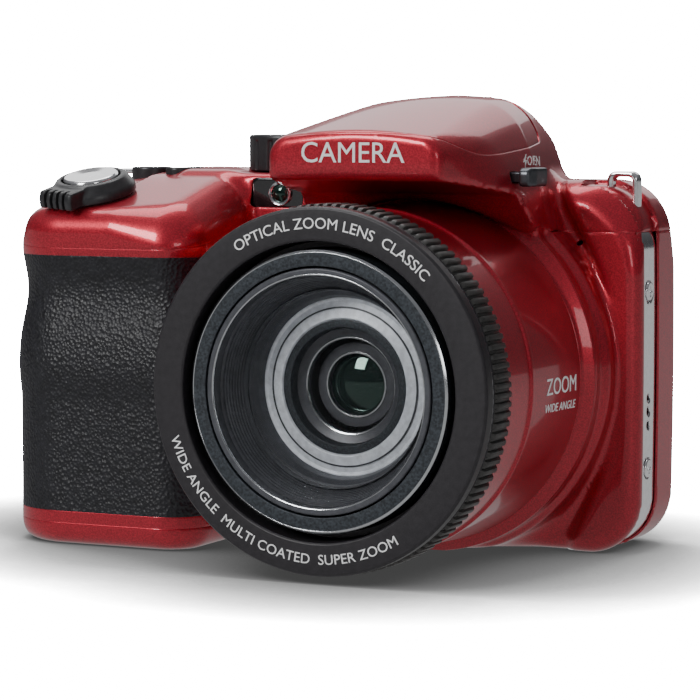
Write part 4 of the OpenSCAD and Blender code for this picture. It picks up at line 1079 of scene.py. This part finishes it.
def build_print():
    face = RING_Y - 0.01
    printed("ring_print", [on_ring("OPTICAL ZOOM LENS  CLASSIC", 2.7, 29.3, 83, face, 1.05),
            under_ring("WIDE ANGLE  MULTI COATED  SUPER ZOOM", 2.5, 29.3, 250, face, 1.05)],
        "casing")
    printed("brow_print", [on_plane("CAMERA", 5.2, (LENS_X, BROW_Y - 0.03, 74.9), (1, 0, 0), (0, 0, 1))],
        "casing")
    p, faces = text_shape("ZOOM", 4.3)
    q, small = text_shape("WIDE ANGLE", 2.2)
    printed("barrel_print", [wrapped(p, faces, -3.6, 1.6), wrapped(q, small, -3.6, -2.2)], "casing")
    printed("lever_print", [side_words(text_shape("OPEN", 3.1), 10.4, 75.2),
            side_words(bolt_shape(3.2), 5.4, 75.2)],
        "casing")
    dial, dial_top = centre_of("mode_dial"), mm_box("mode_dial")[1][2]
    marks = []
    for i, word in enumerate(("AUTO", "P", "A", "S", "M", "SCN", "C", "PAN")):
        turn = i * 2 * math.pi / 8
        at = (dial[0] + 5.4 * math.cos(turn), dial[1] + 5.4 * math.sin(turn), dial_top - 0.22)
        marks.append(on_plane(word, 1.5 if len(word) > 1 else 2.4, at, (-math.sin(turn), math.cos(turn), 0),
                (-math.cos(turn), -math.sin(turn), 0)))
    printed("dial_print", marks, "mode_dial")
    rear = REAR_Y + 0.02
    words = [("MENU", -46.5, 43.0), ("PLAY", -30.5, 43.0)]
    printed("rear_print", [on_plane(w, 1.7, (x, rear, z), (-1, 0, 0), (0, 0, 1)) for w, x, z in words],
        "casing")
    printed("set_print", [on_plane("SET", 2.2, (PAD_AT[0], mm_box("set_button")[1][1] - 0.1, PAD_AT[1]),
                (-1, 0, 0), (0, 0, 1))],
        "set_button")


def wrapped(points, faces, middle_y, middle_z):
    """Words laid on the fixed barrel, on the side away from the grip."""
    y = middle_y + points[:, 0]
    z = middle_z + points[:, 1]
    r = 31 + np.clip((y + 15.7) / 20.4, 0, 1) + 0.05 + points[:, 2]
    a = z / r + math.radians(-4)
    return np.stack([LENS_X + r * np.cos(a), y, LENS_Z + r * np.sin(a)], 1), faces


def bolt_shape(size, thick=0.03):
    """A small lightning bolt, as the letters are."""
    edge = np.array([(0.1, 0.5), (-0.28, -0.08), (-0.04, -0.04), (-0.16, -0.5), (0.26, 0.1), (0.02, 0.06),
            (0.2, 0.5)])
    n = len(edge)
    points = np.array([(*p * size, t) for t in (thick, -thick) for p in edge])
    sides = [(i, n + i, n + (i + 1) % n, (i + 1) % n) for i in range(n)]
    return points, [tuple(range(n - 1, -1, -1)), tuple(range(n, 2 * n)), *[q[::-1] for q in sides]]


def side_words(shape, y, z):
    """Marks on the hump's side above the flash lever."""
    points, faces = shape
    p = np.stack([np.full(len(points), LENS_X + HUMP_HALF), y + points[:, 0], z + points[:, 1]], 1)
    p = project(casing, p, 4)
    n = gradient(casing, p)
    n /= np.linalg.norm(n, axis=1)[:, None]
    return p + n * (points[:, 2:] + 0.03), faces


# ---- studio ----

WHITE = 40.0
CAMERA_AT = (0.2406, -0.4890, 0.0818)
CAMERA_AIM = (0.0062, 0.003, 0.0375)
CAMERA_LENS = 149


def build_studio():
    floor = bpy.data.meshes.new("floor")
    floor.from_pydata([(-4, -4, 0), (4, -4, 0), (4, 4, 0), (-4, 4, 0)], [], [(0, 1, 2, 3)])
    obj = bpy.data.objects.new("floor", floor)
    bpy.context.scene.collection.objects.link(obj)
    floor.materials.append(floor_paper())
    bpy.context.scene.world = studio_world()
    light("key", (-0.5, -1.3, 0.8), 0.5, 0.5, 16)
    light("fill", (1.0, -1.0, 0.35), 0.35, 0.35, 1.6)
    light("top", (-0.2, 0.2, 1.0), 0.9, 0.5, 7)
    light("back", (-0.5, 1.2, 0.75), 1.6, 0.8, 5)
    camera()


def floor_paper():
    """White paper that the camera sees burnt out, apart from the soft shadow under the object."""
    mat = bpy.data.materials.new("paper")
    mat.use_nodes = True
    tree = mat.node_tree
    diffuse = tree.nodes["Principled BSDF"]
    diffuse.inputs["Base Color"].default_value = (0.8, 0.8, 0.8, 1)
    diffuse.inputs["Roughness"].default_value = 0.7
    shade = add(tree, "AmbientOcclusion")
    shade.inputs["Distance"].default_value = 0.05
    shade.samples = 24
    ramp = add(tree, "ValToRGB")
    ramp.color_ramp.elements[0].position, ramp.color_ramp.elements[0].color = 0.15, (0.0015, 0.0015, 0.0015,
        1)
    ramp.color_ramp.elements[1].position, ramp.color_ramp.elements[1].color = 1.0, (1, 1, 1, 1)
    for place, grey in ((0.5, 0.006), (0.7, 0.018), (0.84, 0.06), (0.93, 0.22)):
        ramp.color_ramp.elements.new(place).color = (grey, grey, grey, 1)
    glow = add(tree, "Emission")
    glow.inputs["Strength"].default_value = WHITE
    sheen = add(tree, "Emission")
    sheen.inputs["Strength"].default_value = 0.42
    gloss_mix = add(tree, "MixShader")
    mix = add(tree, "MixShader")
    path = add(tree, "LightPath")
    wire(tree, shade, "AO", ramp, "Fac")
    wire(tree, ramp, "Color", glow, "Color")
    wire(tree, path, "Is Camera Ray", mix, "Fac")
    wire(tree, path, "Is Glossy Ray", gloss_mix, "Fac")
    wire(tree, diffuse, "BSDF", gloss_mix, 1)
    wire(tree, sheen, "Emission", gloss_mix, 2)
    wire(tree, gloss_mix, "Shader", mix, 1)
    wire(tree, glow, "Emission", mix, 2)
    tree.links.new(mix.outputs["Shader"], tree.nodes["Material Output"].inputs["Surface"])
    return mat


def studio_world():
    """A pale room for the camera, and a dimmer one, brighter overhead, for light and reflections."""
    world = bpy.data.worlds.new("studio")
    world.use_nodes = True
    tree = world.node_tree
    room = tree.nodes["Background"]
    seen = add(tree, "Background")
    seen.inputs["Strength"].default_value = WHITE
    place = add(tree, "TexCoord")
    split = add(tree, "SeparateXYZ")
    ramp = add(tree, "ValToRGB")
    ramp.color_ramp.elements[0].position, ramp.color_ramp.elements[0].color = 0.05, (0.05, 0.05, 0.053, 1)
    ramp.color_ramp.elements[1].position, ramp.color_ramp.elements[1].color = 0.7, (0.22, 0.22, 0.23, 1)
    path = add(tree, "LightPath")
    mix = add(tree, "MixShader")
    wire(tree, place, "Generated", split, "Vector")
    wire(tree, split, "Z", ramp, "Fac")
    wire(tree, ramp, "Color", room, "Color")
    wire(tree, path, "Is Camera Ray", mix, "Fac")
    wire(tree, room, "Background", mix, 1)
    wire(tree, seen, "Background", mix, 2)
    tree.links.new(mix.outputs["Shader"], tree.nodes["World Output"].inputs["Surface"])
    return world


def light(name, at, width, height, power, target=(0, 0, 0.04)):
    data = bpy.data.lights.new(name, "AREA")
    data.shape = "RECTANGLE"
    data.size, data.size_y = width, height
    data.energy = power
    obj = bpy.data.objects.new(name, data)
    bpy.context.scene.collection.objects.link(obj)
    obj.location = at
    obj.rotation_mode = "QUATERNION"
    obj.rotation_quaternion = (Vector(target) - Vector(at)).to_track_quat("-Z", "Y")


def camera():
    data = bpy.data.cameras.new("camera")
    data.lens = CAMERA_LENS
    data.sensor_width = 36
    data.clip_start, data.clip_end = 0.01, 20
    obj = bpy.data.objects.new("camera", data)
    bpy.context.scene.collection.objects.link(obj)
    obj.location = CAMERA_AT
    obj.rotation_mode = "QUATERNION"
    obj.rotation_quaternion = (Vector(CAMERA_AIM) - obj.location).to_track_quat("-Z", "Y")
    bpy.context.scene.camera = obj


def dress_inner_nodes():
    """The parts kept from the CAD model take their slot's finish."""
    for node, obj in frame["nodes"].items():
        obj.data.materials.clear()
        obj.data.materials.append(MATERIALS[SLOT_OF[node]])


make_materials()
dress_inner_nodes()
build_shells()
build_lens()
build_trim()
build_top_controls()
build_front_window()
build_flash()
build_doors()
build_rear()
build_print()
build_studio()
